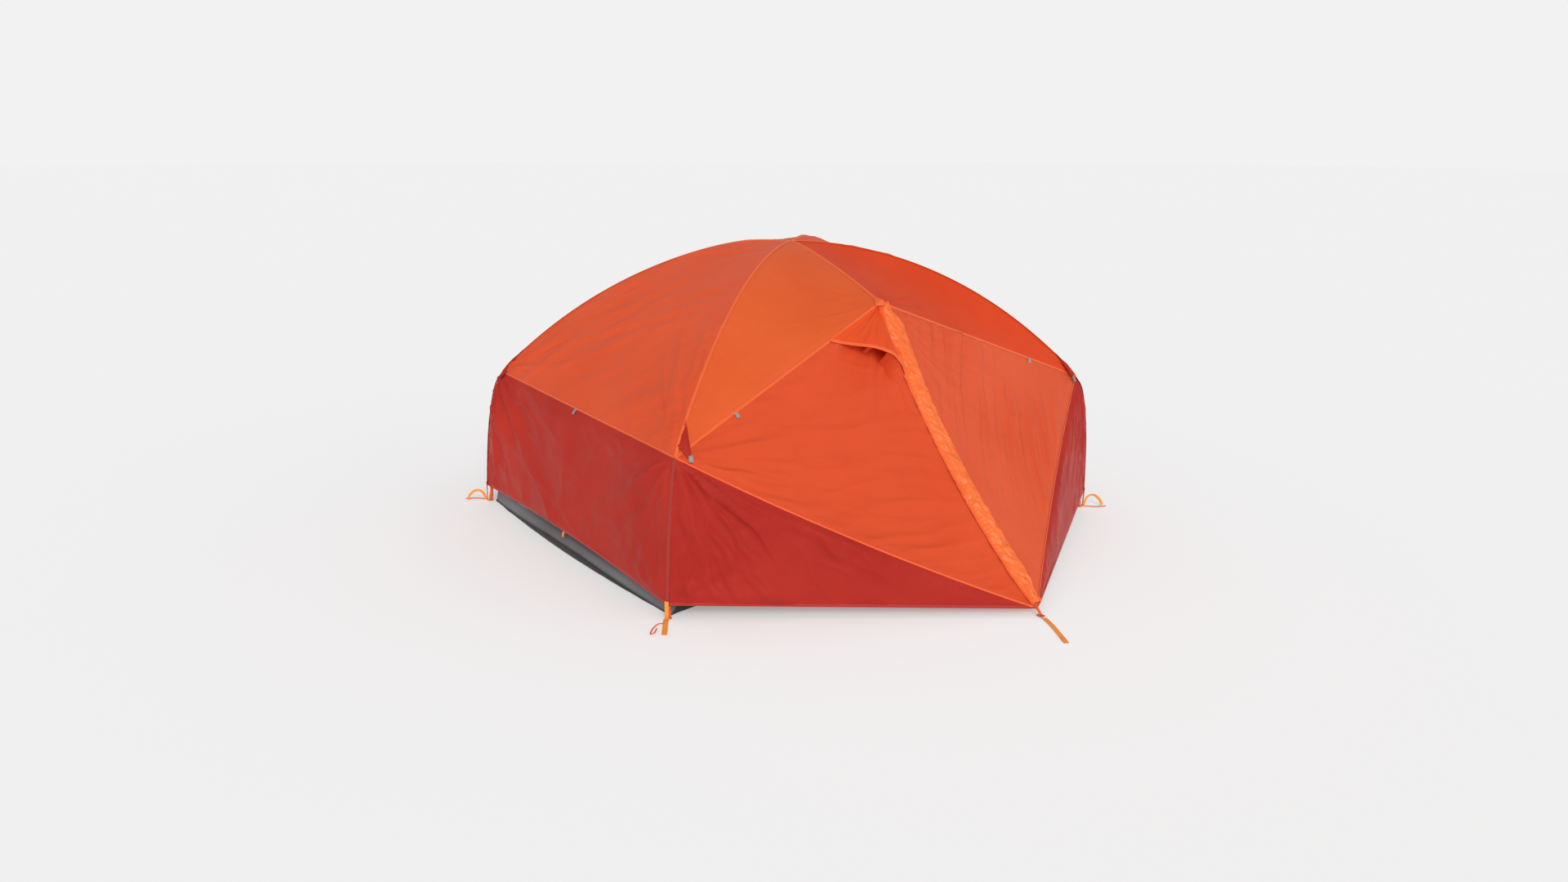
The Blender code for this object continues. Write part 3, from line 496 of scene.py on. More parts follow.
class Shader:
    """A new material with helpers that add and join its nodes."""

    def __init__(self, name):
        self.material = bpy.data.materials.new(name)
        self.material.use_nodes = True
        self.nodes, self.links = self.material.node_tree.nodes, self.material.node_tree.links
        self.principled = self.nodes["Principled BSDF"]

    def feed(self, socket, value):
        """Sets an input to a value, or joins another node's output to it."""
        if isinstance(value, bpy.types.NodeSocket):
            self.links.new(value, socket)
        else:
            socket.default_value = value

    def add(self, kind, inputs=None, **settings):
        node = self.nodes.new(kind)
        for key, value in settings.items():
            setattr(node, key, value)
        for key, value in (inputs or {}).items():
            self.feed(node.inputs[key], value)
        return node

    def look(self, **inputs):
        """Sets or joins the surface's own inputs."""
        for key, value in inputs.items():
            self.feed(self.principled.inputs[key.replace("_", " ")], value)
        return self.material

    def end_in_mix(self, share, first, second):
        """Ends the material in a mix of two surfaces, with this share of the second."""
        both = self.add("ShaderNodeMixShader", {0: share, 1: first.outputs[0], 2: second.outputs[0]})
        self.links.new(both.outputs[0], self.nodes["Material Output"].inputs[0])
        return self.material

    def maths(self, operation, *values):
        return self.add("ShaderNodeMath", dict(enumerate(values)), operation=operation).outputs[0]

    def times(self, a, b):
        return self.maths("MULTIPLY", a, b)

    def uv(self, layer="UVMap"):
        flat = self.add("ShaderNodeUVMap", uv_map=layer).outputs[0]
        return self.add("ShaderNodeSeparateXYZ", {"Vector": flat}).outputs[:2]

    def noise(self, scale, detail=2.0, rough=0.5, lean=None, distortion=0.0):
        """Noise in space or, with lean, drawn out in that direction of the flat cloth, in radians."""
        if lean is None:
            where = self.add("ShaderNodeTexCoord").outputs["Object"]
        else:
            flat = self.add("ShaderNodeUVMap", uv_map="UVMap").outputs[0]
            drawn = {"Vector": flat, "Rotation": (0, 0, lean), "Scale": (0.10, 1, 1)}
            where = self.add("ShaderNodeMapping", drawn).outputs[0]
        inputs = {"Scale": scale, "Detail": detail, "Roughness": rough, "Distortion": distortion}
        return self.add("ShaderNodeTexNoise", {"Vector": where, **inputs}).outputs["Fac"]

    def ramp(self, value, low, high, first=0.0, last=1.0):
        inputs = {"Value": value, "From Min": low, "From Max": high, "To Min": first, "To Max": last}
        return self.add("ShaderNodeMapRange", inputs).outputs[0]

    def colours(self, factor, first, second):
        inputs = {0: factor, 6: (*first, 1), 7: (*second, 1)}
        return self.add("ShaderNodeMix", inputs, data_type="RGBA").outputs[2]

    def mottled(self, colour, scale, dark):
        return self.colours(self.noise(scale, 3.0), [c * dark for c in colour], colour)

    def bump(self, height, distance, after=None):
        inputs = {"Height": height, "Distance": distance}
        if after is not None:
            inputs["Normal"] = after
        return self.add("ShaderNodeBump", inputs).outputs[0]

    def lines(self, value, period, width):
        """1 on lines a period apart, 0 between them."""
        return self.ramp(self.maths("PINGPONG", value, period / 2), 0.0, width, 1.0, 0.0)

    def mesh_of_lines(self, period, thickness):
        return self.maths("MAXIMUM", *(self.lines(way, period, period * thickness) for way in self.uv()))

    def near(self, value, middle, width):
        """1 where the value is the middle one, 0 from this width away."""
        return self.ramp(self.maths("ABSOLUTE", self.maths("SUBTRACT", value, middle)), 0.0, width, 1.0, 0.0)


def fabric(name, colour, shade, rough=0.42, through=0.12, lean=0.0, gloss=0.12, pulls=0.0036, pucker=0.0007):
    """Coated ripstop cloth: a faint grid, fine pulled folds, packing creases and puckers beside the seams.

    lean is the direction of the fine folds in radians, and through the share of the light that passes.
    """
    s = Shader(name)
    tint = s.colours(s.ramp(s.noise(2.6, 3.0), 0.3, 0.7), shade, colour)
    normal = s.bump(s.mesh_of_lines(RIPSTOP, 0.16), 0.00007)
    patch = s.ramp(s.noise(4.0, 1.0), 0.42, 0.62)
    normal = s.bump(s.times(s.noise(18.0, 2.0, 0.45, lean, 0.2), patch), pulls, normal)
    creases = s.near(s.noise(5.0, 2.5, 0.5, None, 0.7), 0.5, 0.012)
    normal = s.bump(s.times(creases, s.ramp(s.noise(7.0), 0.45, 0.6)), 0.0006, normal)
    along, distance = s.uv("Seam")
    wander = s.times(s.noise(14.0, 2.0), 6.0)
    wave = s.maths("SINE", s.maths("ADD", s.times(along, 2 * math.pi / 0.017), wander))
    fade = s.maths("POWER", 2.0, s.times(distance, -1 / 0.016))
    gathered = s.ramp(s.noise(5.0, 1.0), 0.42, 0.62, 0.15, 1.0)
    normal = s.bump(s.times(s.times(wave, fade), gathered), pucker, normal)
    roughness = s.ramp(s.noise(7.0, 3.0), 0.3, 0.7, rough - 0.05, rough + 0.06)
    s.look(Base_Color=tint, Roughness=roughness, Normal=normal, Specular_IOR_Level=gloss, Specular_Tint=SHINE)
    s.look(Sheen_Weight=SHEEN, Sheen_Roughness=0.3, Sheen_Tint=[channel**0.5 for channel in colour] + [1])
    return s.end_in_mix(through, s.principled, s.add("ShaderNodeBsdfTranslucent", {"Color": tint}))


def tape(name, colour, stitch, rough=0.5, rows=(0.36,), width=0.016, rib=0.0012):
    """Woven tape with ribs across it and stitches in rows, at these shares of its width from the middle."""
    s = Shader(name)
    along, across = s.uv()
    off = s.maths("ABSOLUTE", across)
    sewn = s.near(off, rows[0] * width, 0.0009)
    for row in rows[1:]:
        sewn = s.maths("MAXIMUM", sewn, s.near(off, row * width, 0.0009))
    stitches = s.times(sewn, s.ramp(s.maths("PINGPONG", along, 0.0016), 0.0002, 0.0006))
    inputs = {0: stitches, 6: s.mottled(colour, 22.0, 0.86), 7: (*stitch, 1)}
    normal = s.bump(sewn, -0.0006, s.bump(s.lines(along, rib, rib * 0.4), 0.00012))
    return s.look(
        Base_Color=s.add("ShaderNodeMix", inputs, data_type="RGBA").outputs[2],
        Normal=s.bump(s.noise(60.0, 3.0), 0.0009, normal),
        Roughness=s.ramp(s.noise(30.0), 0.3, 0.7, rough - 0.05, rough + 0.06),
        Sheen_Weight=0.05,
        Specular_IOR_Level=0.35,
    )


def netting(name, colour, hole=0.0016, cover=0.62):
    """Fine netting: dark threads round small holes that let the view through."""
    s = Shader(name)
    threads = s.mesh_of_lines(hole, 0.24)
    s.look(Base_Color=s.mottled(colour, 12.0, 0.8), Roughness=0.75, Normal=s.bump(threads, 0.0001))
    share = s.ramp(threads, 0.0, 1.0, cover, 1.0)
    return s.end_in_mix(share, s.add("ShaderNodeBsdfTransparent"), s.principled)


def moulded(name, colour, rough=0.4, metallic=0.0, grain=220.0):
    s = Shader(name)
    return s.look(
        Base_Color=s.mottled(colour, 30.0, 0.85),
        Roughness=s.ramp(s.noise(90.0, 4.0), 0.3, 0.7, rough - 0.08, rough + 0.08),
        Normal=s.bump(s.noise(grain, 3.0), 0.00015),
        Metallic=metallic,
    )


# The next five orange cloths are one cloth and the two red ones another; their tints are painted light and
# shade
END_ORANGE = fabric("end_roof_cloth", (0.85, 0.112, 0.038), (0.79, 0.098, 0.032), lean=0.6)
THROUGH_LIT_ORANGE = fabric("side_roof_cloth", (0.86, 0.138, 0.035), (0.80, 0.115, 0.028), through=0.18, lean=1.2)
SHADED_SIDE_ORANGE = fabric("deep_roof_cloth", (0.76, 0.068, 0.016), (0.70, 0.058, 0.013), lean=-1.2)
ORANGE = fabric("vestibule_cloth", (0.75, 0.091, 0.030), (0.70, 0.079, 0.025), lean=-0.15)
DOOR_ORANGE = fabric("door_cloth", (0.76, 0.112, 0.044), (0.70, 0.095, 0.037), lean=1.52, pucker=0.0012)
RED = fabric("lower_cloth", (0.45, 0.032, 0.023), (0.39, 0.025, 0.018), 0.40, 0.05, 0.9, 0.05, 0.0020)
END_RED = fabric("end_wall_cloth", (0.51, 0.039, 0.0265), (0.44, 0.031, 0.021), 0.40, 0.05, 0.9, 0.05, 0.0020)
FLAP = fabric("flap_cloth", (1.0, 0.205, 0.045), (0.96, 0.180, 0.038), 0.33, 0.15, 0.8, 0.40, 0.011)
HOOD_CLOTH = fabric("hood_cloth", (0.94, 0.105, 0.018), (0.88, 0.088, 0.014), 0.34, 0.20, 0.8, 0.32, 0.008)
FLOOR_CLOTH = fabric("floor_cloth", (0.045, 0.041, 0.043), (0.036, 0.033, 0.034), 0.5, 0.0)
SKIRT_CLOTH = fabric("skirt_cloth", (0.205, 0.197, 0.206), (0.170, 0.163, 0.171), 0.5, 0.0, 0.0, 0.15)
WALL_CLOTH = fabric("wall_cloth", (0.42, 0.42, 0.43), (0.36, 0.36, 0.37), 0.6, 0.35)
NET = netting("netting", (0.20, 0.20, 0.21))
SEAM_TAPE = tape("seam_tape", (0.91, 0.122, 0.024), (0.93, 0.18, 0.045))
LEG_TAPE = tape("leg_tape", (0.40, 0.026, 0.017), (0.46, 0.038, 0.024), rows=(0.10, 0.36), width=0.018)
RED_HEM = tape("red_hem", (0.46, 0.022, 0.014), (0.58, 0.05, 0.03), rows=(0.3,), width=0.014)
WEBBING = tape("orange_webbing", (1.0, 0.34, 0.040), (1.0, 0.46, 0.09), 0.62, (0.38,), 0.018, 0.0018)
THIN_TAPE = tape("thin_tape", (0.86, 0.12, 0.025), (0.85, 0.2, 0.06), 0.6, (0.0,), 0.005, 0.001)
GREY_TAPE = tape("reflective_tape", (0.31, 0.295, 0.295), (0.6, 0.6, 0.6), 0.32, (0.4,), 0.020, 0.0015)
ZIP_TAPE = tape("zip_tape", (0.50, 0.035, 0.02), (0.75, 0.2, 0.1), 0.6, (0.45,), 0.014, 0.0013)
THIN_GREY = tape("grey_piping", (0.10, 0.098, 0.10), (0.2, 0.2, 0.2), 0.6, (0.0,), 0.005, 0.001)
BINDING = tape("grey_binding", (0.16, 0.16, 0.17), (0.35, 0.35, 0.35), 0.6, (0.3,), 0.012, 0.001)
PLASTIC = moulded("grey_plastic", (0.09, 0.09, 0.095), 0.42)
BUCKLE = moulded("orange_plastic", (0.62, 0.09, 0.025), 0.38)
PROP = moulded("vent_prop", (0.72, 0.07, 0.02), 0.5)
ALLOY = moulded("anodised_alloy", (0.50, 0.50, 0.52), 0.3, 1.0, 400.0)
ELASTIC = moulded("elastic_cord", (0.75, 0.74, 0.72), 0.8, 0.0, 900.0)


# ---- Fly ----


def grid(rows, columns, first, second, power=1.0):
    """Points on straight lines between two curves, each a function of an array of shares."""
    share = shares(rows + 1) ** power
    return mix(first(share)[:, None], second(share)[:, None], shares(columns + 1))


def fly_panel(name, panel, height, material, seams, keep=None):
    """The panel's cloth, raised outwards by this height, which fades to nothing at its edges."""
    from_edge = np.min([distance for _, distance in panel.edges.values()], axis=0)
    held = 1 - np.exp(-((from_edge / SEAM_HOLD) ** 2))
    points = panel.points + panel.normal * (height * held)[..., None]
    along, from_seam = np.zeros(held.shape), np.ones(held.shape)
    for seam in seams:
        run, distance = panel.edges[seam]
        along, from_seam = np.where(distance < from_seam, run, along), np.minimum(distance, from_seam)
    made = grid_object(name, points, material, panel.flat, stack(along, from_seam), keep)
    merge_points(made)
    return made


def make_end_roof():
    p = Panel(grid(FINE, FINE, lambda s: roof_edge(s, LEFT), lambda s: roof_edge(s, LEFT, 1), 0.8))
    height = p.sag(0.012)
    height += p.streaks(33, 0.110, 1.8, 0.015, 11, 0.12) + p.streaks(31, 0.040, 1.3, 0.0055, 19, 0.12)
    height += p.streaks(60, 0.060, 1.3, 0.007, 12, 0.12)
    height += p.fan(-1, 0, 0.11, 0.6, 0.018, 13) + p.fan(-1, -1, 0.11, 0.6, 0.020, 14)
    height += p.gathers("near", 0.045, 0.10, 0.005, 15, 0.5) + p.gathers("far", 0.045, 0.16, 0.008, 16)
    height += p.gathers("end", 0.040, 0.06, 0.0035, 18)
    piece = fly_panel("end_roof_left", p, height, END_ORANGE, ("near", "far", "end"))
    settle(piece, "fly_orange", ["fly_end_roof_left"], held=("stretched", "pole_side_front_left"))


def make_end_wall():
    points = grid(64, FINE, lambda s: wall_edge(s, LEFT), lambda s: wall_edge(s, LEFT, 1))
    across = np.linspace(-1, 1, FINE + 1)
    points[..., 2] += HEM_RISE * (1 - across**2) * shares(65)[:, None]
    p = Panel(points)
    height = p.fan(0, 0, 0.26, 0.50, 0.028, 21) + p.fan(0, -1, 0.28, 0.70, 0.044, 22)
    height += p.fan(-1, 0, 0.34, 0.30, 0.014, 23) + p.fan(-1, -1, 0.40, 0.30, 0.012, 24)
    height += p.gathers("start", 0.040, 0.04, 0.005, 25) + p.streaks(-28, 0.20, 0.8, 0.022, 26)
    height += p.streaks(40, 0.20, 0.6, 0.018, 28)
    piece = fly_panel("end_wall_left", p, height, END_RED, ("start", "near", "far"))
    settle(piece, "fly_red", ["fly_end_wall_left"], held=("stretched", "pole_leg_front_left"))


def make_side_roof(hand):
    p = Panel(grid(FINE, 84, ridge, lambda s: roof_edge(s, hand), 0.8))
    height = p.sag(0.010)
    height += p.fan(-1, -1, 0.12, 0.35, 0.007, 31 + hand) + p.fan(-1, 0, 0.16, 0.3, 0.007, 34 + hand)
    height += p.streaks(70 * hand, 0.11, 0.9, 0.0022, 37 + hand)
    height += p.gathers("end", 0.035, 0.05, 0.0025, 40 + hand) + p.crumple(0.2, 0.0006, 42 + hand)
    # One cloth: the left half's lighter tint is painted light through it, the right half's deeper one painted
    # shade
    material = THROUGH_LIT_ORANGE if hand == LEFT else SHADED_SIDE_ORANGE
    piece = fly_panel(f"side_roof_front_{HANDS[hand]}", p, height, material, ("near", "far", "end"))
    settle(piece, "fly_orange", ["fly_side_roof_front"], held=("stretched", "ridge_pole"))


def vestibule_upper(hand):
    share = shares(FINE + 1)
    p = Panel(grid(FINE, FINE, zip_line, lambda s: seam_line(s, hand)))
    height = p.sag(0.012)
    material, keep = DOOR_ORANGE, None
    if hand == LEFT:
        height += p.streaks(3, 0.070, 1.0, 0.015, 52) + p.streaks(-14, 0.050, 0.6, 0.009, 53)
        height += p.fan(0, 0, 0.13, 0.50, 0.024, 54) + p.fan(0, -1, 0.14, 0.50, 0.020, 55)
        height += p.gathers("near", 0.04, 0.07, 0.006, 56, 1.2) + p.gathers("far", 0.04, 0.06, 0.004, 57)
        down, across = ((low < share) & (share < high) for low, high in (VENT_DOWN, VENT_ACROSS))
        material, keep = ORANGE, ~(down[:, None] & across)
    else:
        hung = np.exp(-p.edges["start"][1] / 0.9)
        height += p.streaks(HANG_ANGLE, 0.065, 1.8, 0.060, 58, 0.12) * hung
        height += p.streaks(HANG_ANGLE + 2, 0.026, 1.2, 0.022, 59, 0.12) * hung
        height += p.fan(0, 0, 0.10, 0.5, 0.012, 60) + p.gathers("far", 0.04, 0.05, 0.004, 61)
        height += p.gathers("start", 0.030, 0.08, 0.006, 62)
    seams = ("start", "near", "far")
    return fly_panel(f"vestibule_upper_front_{HANDS[hand]}", p, height, material, seams, keep)


def vestibule_lower(hand):
    share, down = shares(FINE + 1), shares(57)
    points = mix(seam_line(share, hand)[:, None], hem_line(share, hand)[:, None], down)
    bow = wall_edge(down, hand) - mix(wall_edge(0.0, hand), wall_edge(1.0, hand), down)
    p = Panel(points + bow * (1 - share)[:, None, None])
    deep = 1.0 if hand == LEFT else 0.4
    height = p.fan(0, 0, 0.15, 0.70, deep * 0.050, 73 + hand)
    height += p.fan(0, -1, 0.24, 0.45, deep * 0.026, 76 + hand)
    height += p.gathers("near", 0.036, 0.06, 0.007, 79 + hand, 0.6)
    height += p.gathers("start", 0.030, 0.04, 0.005, 85 + hand)
    height += p.streaks(42 * hand, 0.12, 0.5, deep * 0.024, 82 + hand)
    return fly_panel(f"vestibule_lower_front_{HANDS[hand]}", p, height, RED, ("start", "near"))


def crease_plane():
    """A point on and the normal of the plane that the door folds back to, facing the tip."""
    top = zip_line(0.03)
    bottom = mix(wall_edge(1.0, RIGHT), TIP, 0.03)
    normal = unit(np.cross(bottom - top, seam_line(CREASE_SHARE, RIGHT) - top))
    return top, normal * math.copysign(1, normal @ (TIP - top))


def settle_door(piece, slot, held=None):
    """Splits a piece of the vestibule's right half at the crease into a jamb and a door, which both stay in
    place.

    Cloth that is held takes the place of the jamb's and the door's CAD nodes.
    """
    point, normal = crease_plane()
    jamb = cut(piece, piece.name.replace("right", "jamb"), point, -normal)
    door = cut(piece, piece.name.replace("right", "door"), point, normal)
    bpy.data.objects.remove(piece)
    fold = ("front_zip_travel", normal.tolist(), point.tolist(), DOOR_KEPT)
    settle(jamb, slot, ["vestibule_jamb_front"] if held else (), held=held)
    settle(door, slot, ["vestibule_door_front"] if held else (), fold=fold, held=held)


def make_vestibules():
    held = ("stretched", "zip_track_front")
    settle(vestibule_upper(LEFT), "fly_orange", ["vestibule_panel_front"], held=held)
    settle(vestibule_lower(LEFT), "fly_red", ["vestibule_panel_front"], held=held)
    settle_door(vestibule_upper(RIGHT), "fly_orange", held)
    settle_door(vestibule_lower(RIGHT), "fly_red", held)


# ---- Seams and hems ----


def seam_tape(line, size, centre=0.2, name="seam"):
    """Tape along a seam, which faces away from this height on the tent's middle."""
    return ribbon(name, line, line - centre * UP, *size, SEAM_TAPE)


def make_seams():
    bands = []
    for hand in (LEFT, RIGHT):
        bands.append(seam_tape(roof_edge(np.linspace(0.004, 1, 160), hand), POLE_SEAM))
        bands.append(seam_tape(top_seam(np.linspace(0.01, 1, 90), hand), POLE_SEAM))
    bands.append(seam_tape(ridge(shares(60)), RIDGE_SEAM))
    bands.append(seam_tape(end_line(shares(110)), END_SEAM))
    left, right = (seam_line(np.linspace(0, 0.985, 120), hand) for hand in (LEFT, RIGHT))
    bands.append(seam_tape(left, LOWER_SEAM, 0.1))
    settle(join("seam_bands_front", bands), "fly_orange")
    settle_door(seam_tape(right, LOWER_SEAM, 0.1, "lower_seam_front_right"), "fly_orange")
    legs = []
    for hand in (LEFT, RIGHT):
        line = wall_edge(np.linspace(0.01, 0.985, 60), hand)
        line = line + 0.0015 * noise(line[:, 2:] / 0.03, hand, 95)
        legs.append(ribbon("leg_seam", line, line * (1, 1, 0), *LEG_SEAM, LEG_TAPE))
    settle(join("leg_seams_front", legs), "fly_red")


def make_peak_patch():
    """A patch over the ridge's end, where five pieces of cloth meet."""
    out = unit((0, -0.6, 0.8))
    spokes = [
        ridge(0.93) + out * 0.004,
        top_seam(0.032, LEFT) + out * 0.005,
        zip_line(0.022) + out * 0.021,
        top_seam(0.032, RIGHT) + out * 0.005,
    ]
    turn = shares(33)
    around = np.transpose([*spokes, spokes[0]])
    rim = np.stack([np.interp(turn * len(spokes), range(5), column) for column in around], 1)
    points = mix(ridge(1.0) + out * 0.017, rim, shares(7)[:, None])
    flat = stack(turn * 0.2, np.linspace(0, 0.04, 7)[:, None])
    patch = grid_object("peak_patch_front", points, SEAM_TAPE, flat, flat)
    merge_points(patch)
    settle(patch, "fly_orange")


def make_hems():
    above = (0, 0, 0.006)
    across = np.linspace(-1, 1, 90)
    line = end_line((across + 1) / 2, 1.0) + stack(0, 0, HEM_RISE * (1 - across**2)) + above
    hems = [ribbon("hem", line, (-1.0, 0, 0.15), *HEM, RED_HEM)]
    for hand in (LEFT, RIGHT):
        line = hem_line(0.97 * shares(90), hand) + above
        hems.append(ribbon("hem", line, (0.5 * hand, -1.2, 0.2), *HEM, RED_HEM))
    right = hems.pop()
    settle(join("hems_front", hems), "fly_red")
    right.name = "hem_front_right"
    settle_door(right, "fly_red")


def folded_tab(name, top, down, out, material=GREY_TAPE, width=0.016, length=0.025):
    """A short loop of tape sewn in a seam: it leaves the cloth, turns over at its end and comes back."""
    turn = np.linspace(0, math.pi, 9)
    there = np.linspace(0, length, 6)
    reach = np.concatenate([there, length + 0.0025 * np.sin(turn), there[::-1]])
    rise = np.concatenate([np.full(6, 0.006), 0.0035 + 0.0025 * np.cos(turn), np.full(6, 0.001)])
    rise = rise * np.clip(reach / 0.008, 0.2, 1) + 0.10 * reach
    down, out = unit(down), unit(out)
    line = top + reach[:, None] * down + rise[:, None] * out
    across = np.linspace(-0.5, 0.5, 5) * width
    points = line[:, None] + unit(np.cross(down, out)) * across[:, None]
    return grid_object(name, points, material, stack(run_of(line)[:, None], across))


def knee_patch(hand, side, on_end, fin_name="fin", tab_name="tab"):
    """A dark fin sewn in the pole seam over the knee, with a folded tab at its free tip."""
    high, low = roof_edge([0.900, 0.972], hand, side)
    knee = wall_edge(0.0, hand, side)
    if on_end:
        sideways, out = (0.02 * hand, -0.050 * side, -0.030), unit((hand, 0.25 * side, 0.45))
    else:
        sideways, out = (-0.056 * hand, 0.012 * side, -0.004), unit((0.25 * hand, side * 0.8, 0.6))
    tip = knee + sideways + out * 0.012
    u, v = shares(15), shares(9)
    upper = mix(high, tip + (knee - high) * -0.06, u)
    lower = mix(low, tip + (knee - high) * 0.10, u)
    u = u[:, None]
    puff = 0.004 + 0.010 * hump(u) * hump(v) + 0.003 * noise(u * 5, v * 2.5, 90)
    points = mix(upper[:, None], lower[:, None], v) + out * puff[..., None]
    flat = stack(u * 0.17, v * 0.05)
    fin = grid_object(fin_name, points, RED, flat, flat)
    return fin, folded_tab(tab_name, tip + out * 0.003, unit(tip - high) + (0, 0, -0.8), out)


def make_tabs():
    fins, tabs = map(list, zip(*(knee_patch(hand, -1, False) for hand in (LEFT, RIGHT))))
    tabs.append(folded_tab("tab", end_line(0.5), (-0.5, 0.1, -0.9), (-0.8, 0, 0.3)))
    for hand in (LEFT, RIGHT):
        down, out = (-0.3 * hand, -0.45, -0.75), (0.1 * hand, -0.6, 0.7)
        tabs.append(folded_tab("tab", top_seam(0.735, hand), down, out))
    settle(join("knee_patches_front", fins), "fly_red")
    settle(join("guy_tabs_front", tabs), "webbing_orange")
    fin, tab = knee_patch(LEFT, 1, True, "knee_patch_rear_left", "guy_tab_rear_left")
    settle(fin, "fly_red")
    settle(tab, "webbing_orange")
    hem = end_line(0.5, 1.0) + (-0.002, 0, HEM_RISE)
    settle(folded_tab("hem_tab_left", hem, (0, 0, -1), (-1, 0, 0), WEBBING, 0.012, 0.022), "webbing_orange")


# ---- Storm flap, zip and vent ----

# (across, height) from the sewn edge to the free one
FLAP_PROFILE = [(-0.020, 0.001), (-0.016, 0.006), (-0.008, 0.0125), (0.0, 0.0155), (0.013, 0.0165)]
FLAP_PROFILE += [(0.027, 0.0155), (0.040, 0.0130), (0.049, 0.0095), (0.055, 0.0055), (0.058, 0.002)]


def make_storm_flap():
    """A crinkled strip over the zip, sewn down along its left edge."""
    share = np.linspace(0.006, 0.985, 190)
    origin, out = zip_frame(share)
    position = shares(27)
    across, height = (np.interp(position, shares(10), column) for column in np.transpose(FLAP_PROFILE))
    width = 0.5 + 0.75 * smooth_step(share / 0.08) - 0.25 * smooth_step((share - 0.12) / 0.2)
    width = (width * (1 - 0.45 * smooth_step((share - 0.88) / 0.1)))[:, None]
    run = share[:, None] * FLAP_LENGTH
    slant = run * 0.8 - across * 1.5
    crinkles = folds(noise(slant / 0.034, (run * 0.5 + across) / 0.05, 101))
    crinkles = crinkles + 0.6 * noise(slant / 0.017, across / 0.03 + run / 0.09, 102)
    crinkles = crinkles + 0.6 * crest(noise(slant / 0.05, across / 0.06 + run / 0.2, 103), 2.5)
    held = hump(np.clip(position, 0.02, 0.98)) ** 0.6
    lift = np.maximum(height * (0.55 + 0.45 * width) + FLAP_CRINKLE * crinkles * held, height * 0.72)
    sideways = across * width + 0.0015 * noise(run / 0.12, 0, 104) * position
    points = origin[:, None] + out[:, None] * lift[..., None] + stack(sideways, 0, 0)
    seam = stack(run, np.minimum(position, 1 - position) * 0.07)
    flap = grid_object("storm_flap_cloth_front", points, FLAP, stack(run, across), seam)
    settle(flap, "fly_orange", ["storm_flap_front"], held=("hung", "zip_track_front"))
    edges = [
        ribbon("flap_seam", points[:, 0] - (0.002, 0, 0), out, 0.009, 0.0022, SEAM_TAPE),
        ribbon("flap_hem", points[:, -3], out, 0.006, 0.0016, SEAM_TAPE),
    ]
    settle(join("flap_edges_front", edges), "fly_orange")


def make_zip():
    origin, out = zip_frame(np.linspace(0.012, 0.975, 120))
    left, right = (
        ribbon(f"zip_tape_front_{HANDS[hand]}", origin + (0.0085 * hand, 0, 0), out, *ZIP_HALF, ZIP_TAPE)
        for hand in (LEFT, RIGHT)
    )
    settle(left, "zip_coil", ["zip_track_front"])
    settle_door(right, "zip_coil")


def make_vent_hood():
    beside_zip = (-0.019, 0, 0)
    top, on_zip = zip_line(0.012) + beside_zip, zip_line(HOOD_ON_ZIP) + beside_zip
    on_seam = top_seam(HOOD_ON_SEAM, LEFT)
    out = unit(np.cross(on_zip - top, on_seam - top))
    out = out * math.copysign(1, out[2])
    a, b = np.linspace(0.02, 1, 40)[:, None], shares(60)
    rise = HOOD_HEIGHT * hump(b**1.45) * a**1.2
    ripples = noise(b * 11, a * 1.3, 111) + 0.6 * noise(b * 21 + a * 2, a * 2.5, 112)
    ripples = ripples * hump(b) ** 0.7 * (0.3 + 0.7 * a) * np.clip((1 - a) / 0.12, 0.25, 1)
    lift = 0.004 + rise + HOOD_RIPPLE * ripples
    points = mix(top, mix(on_seam, on_zip, b), a) + out * lift[..., None]
    seam = stack(b * 0.42, (1 - a) * 0.25)
    hood = grid_object("vent_hood_cloth_front", points, HOOD_CLOTH, stack(b * 0.42 * a, a * 0.25), seam)
    fold = ("front_vent_prop_fold", out.tolist(), (top + out * 0.004).tolist(), HOOD_KEPT)
    settle(hood, "fly_orange", ["vent_hood_front"], fold=fold, held=("stretched", "vent_prop_front"))
    brim = points[-1] - out * 0.001
    settle(ribbon("vent_brim_front", brim, out, 0.014, 0.0030, SEAM_TAPE, 0.0008), "fly_orange", fold=fold)
    gusset = make_gusset(top, on_seam, on_zip, out, brim)
    settle(gusset, "fly_orange", fold=fold, held=("stretched", "vestibule_panel_front"))


def make_gusset(top, on_seam, on_zip, out, brim):
    """The cloth that closes the opening under the hood on the zip's side."""
    b = np.linspace(GUSSET_FROM, 1, 30)
    upper = resample(brim[int(GUSSET_FROM * (len(brim) - 1)):], shares(30))
    below = unit((on_seam + on_zip) / 2 - top)
    reach = 0.015 + 0.075 * smooth_step((b - GUSSET_FROM) / (1 - GUSSET_FROM))
    lower = mix(on_seam, on_zip, b) + reach[:, None] * below - 0.014 * out
    down = shares(22)[:, None]
    pleats = noise(b * 30 + down * 2, down * 1.5, 114) * hump(down) ** 0.7
    points = mix(upper, lower, down) + out * (0.010 * hump(down) + 0.007 * pleats)[..., None]
    flat = stack(b * 0.4, down * 0.08)
    return grid_object("vent_gusset_front", points, ORANGE, flat, flat + 0.05)


# ---- Inner tent ----


def floor_line(count):
    """The tub floor's edge on the ground: its ends bow out and its long sides are cut in."""
    end = 1 - 2 * np.linspace(0, 1, count, endpoint=False)
    short = stack(FLOOR_HALF_LENGTH + 0.04 * (1 - end**2), -FLOOR_HALF_WIDTH * end)
    long = stack(FLOOR_HALF_LENGTH * end, FLOOR_HALF_WIDTH - 0.04 * (1 - end**6))
    return np.concatenate([short, long, -short, -long])


def level(xy, z):
    return stack(xy[..., 0], xy[..., 1], z)


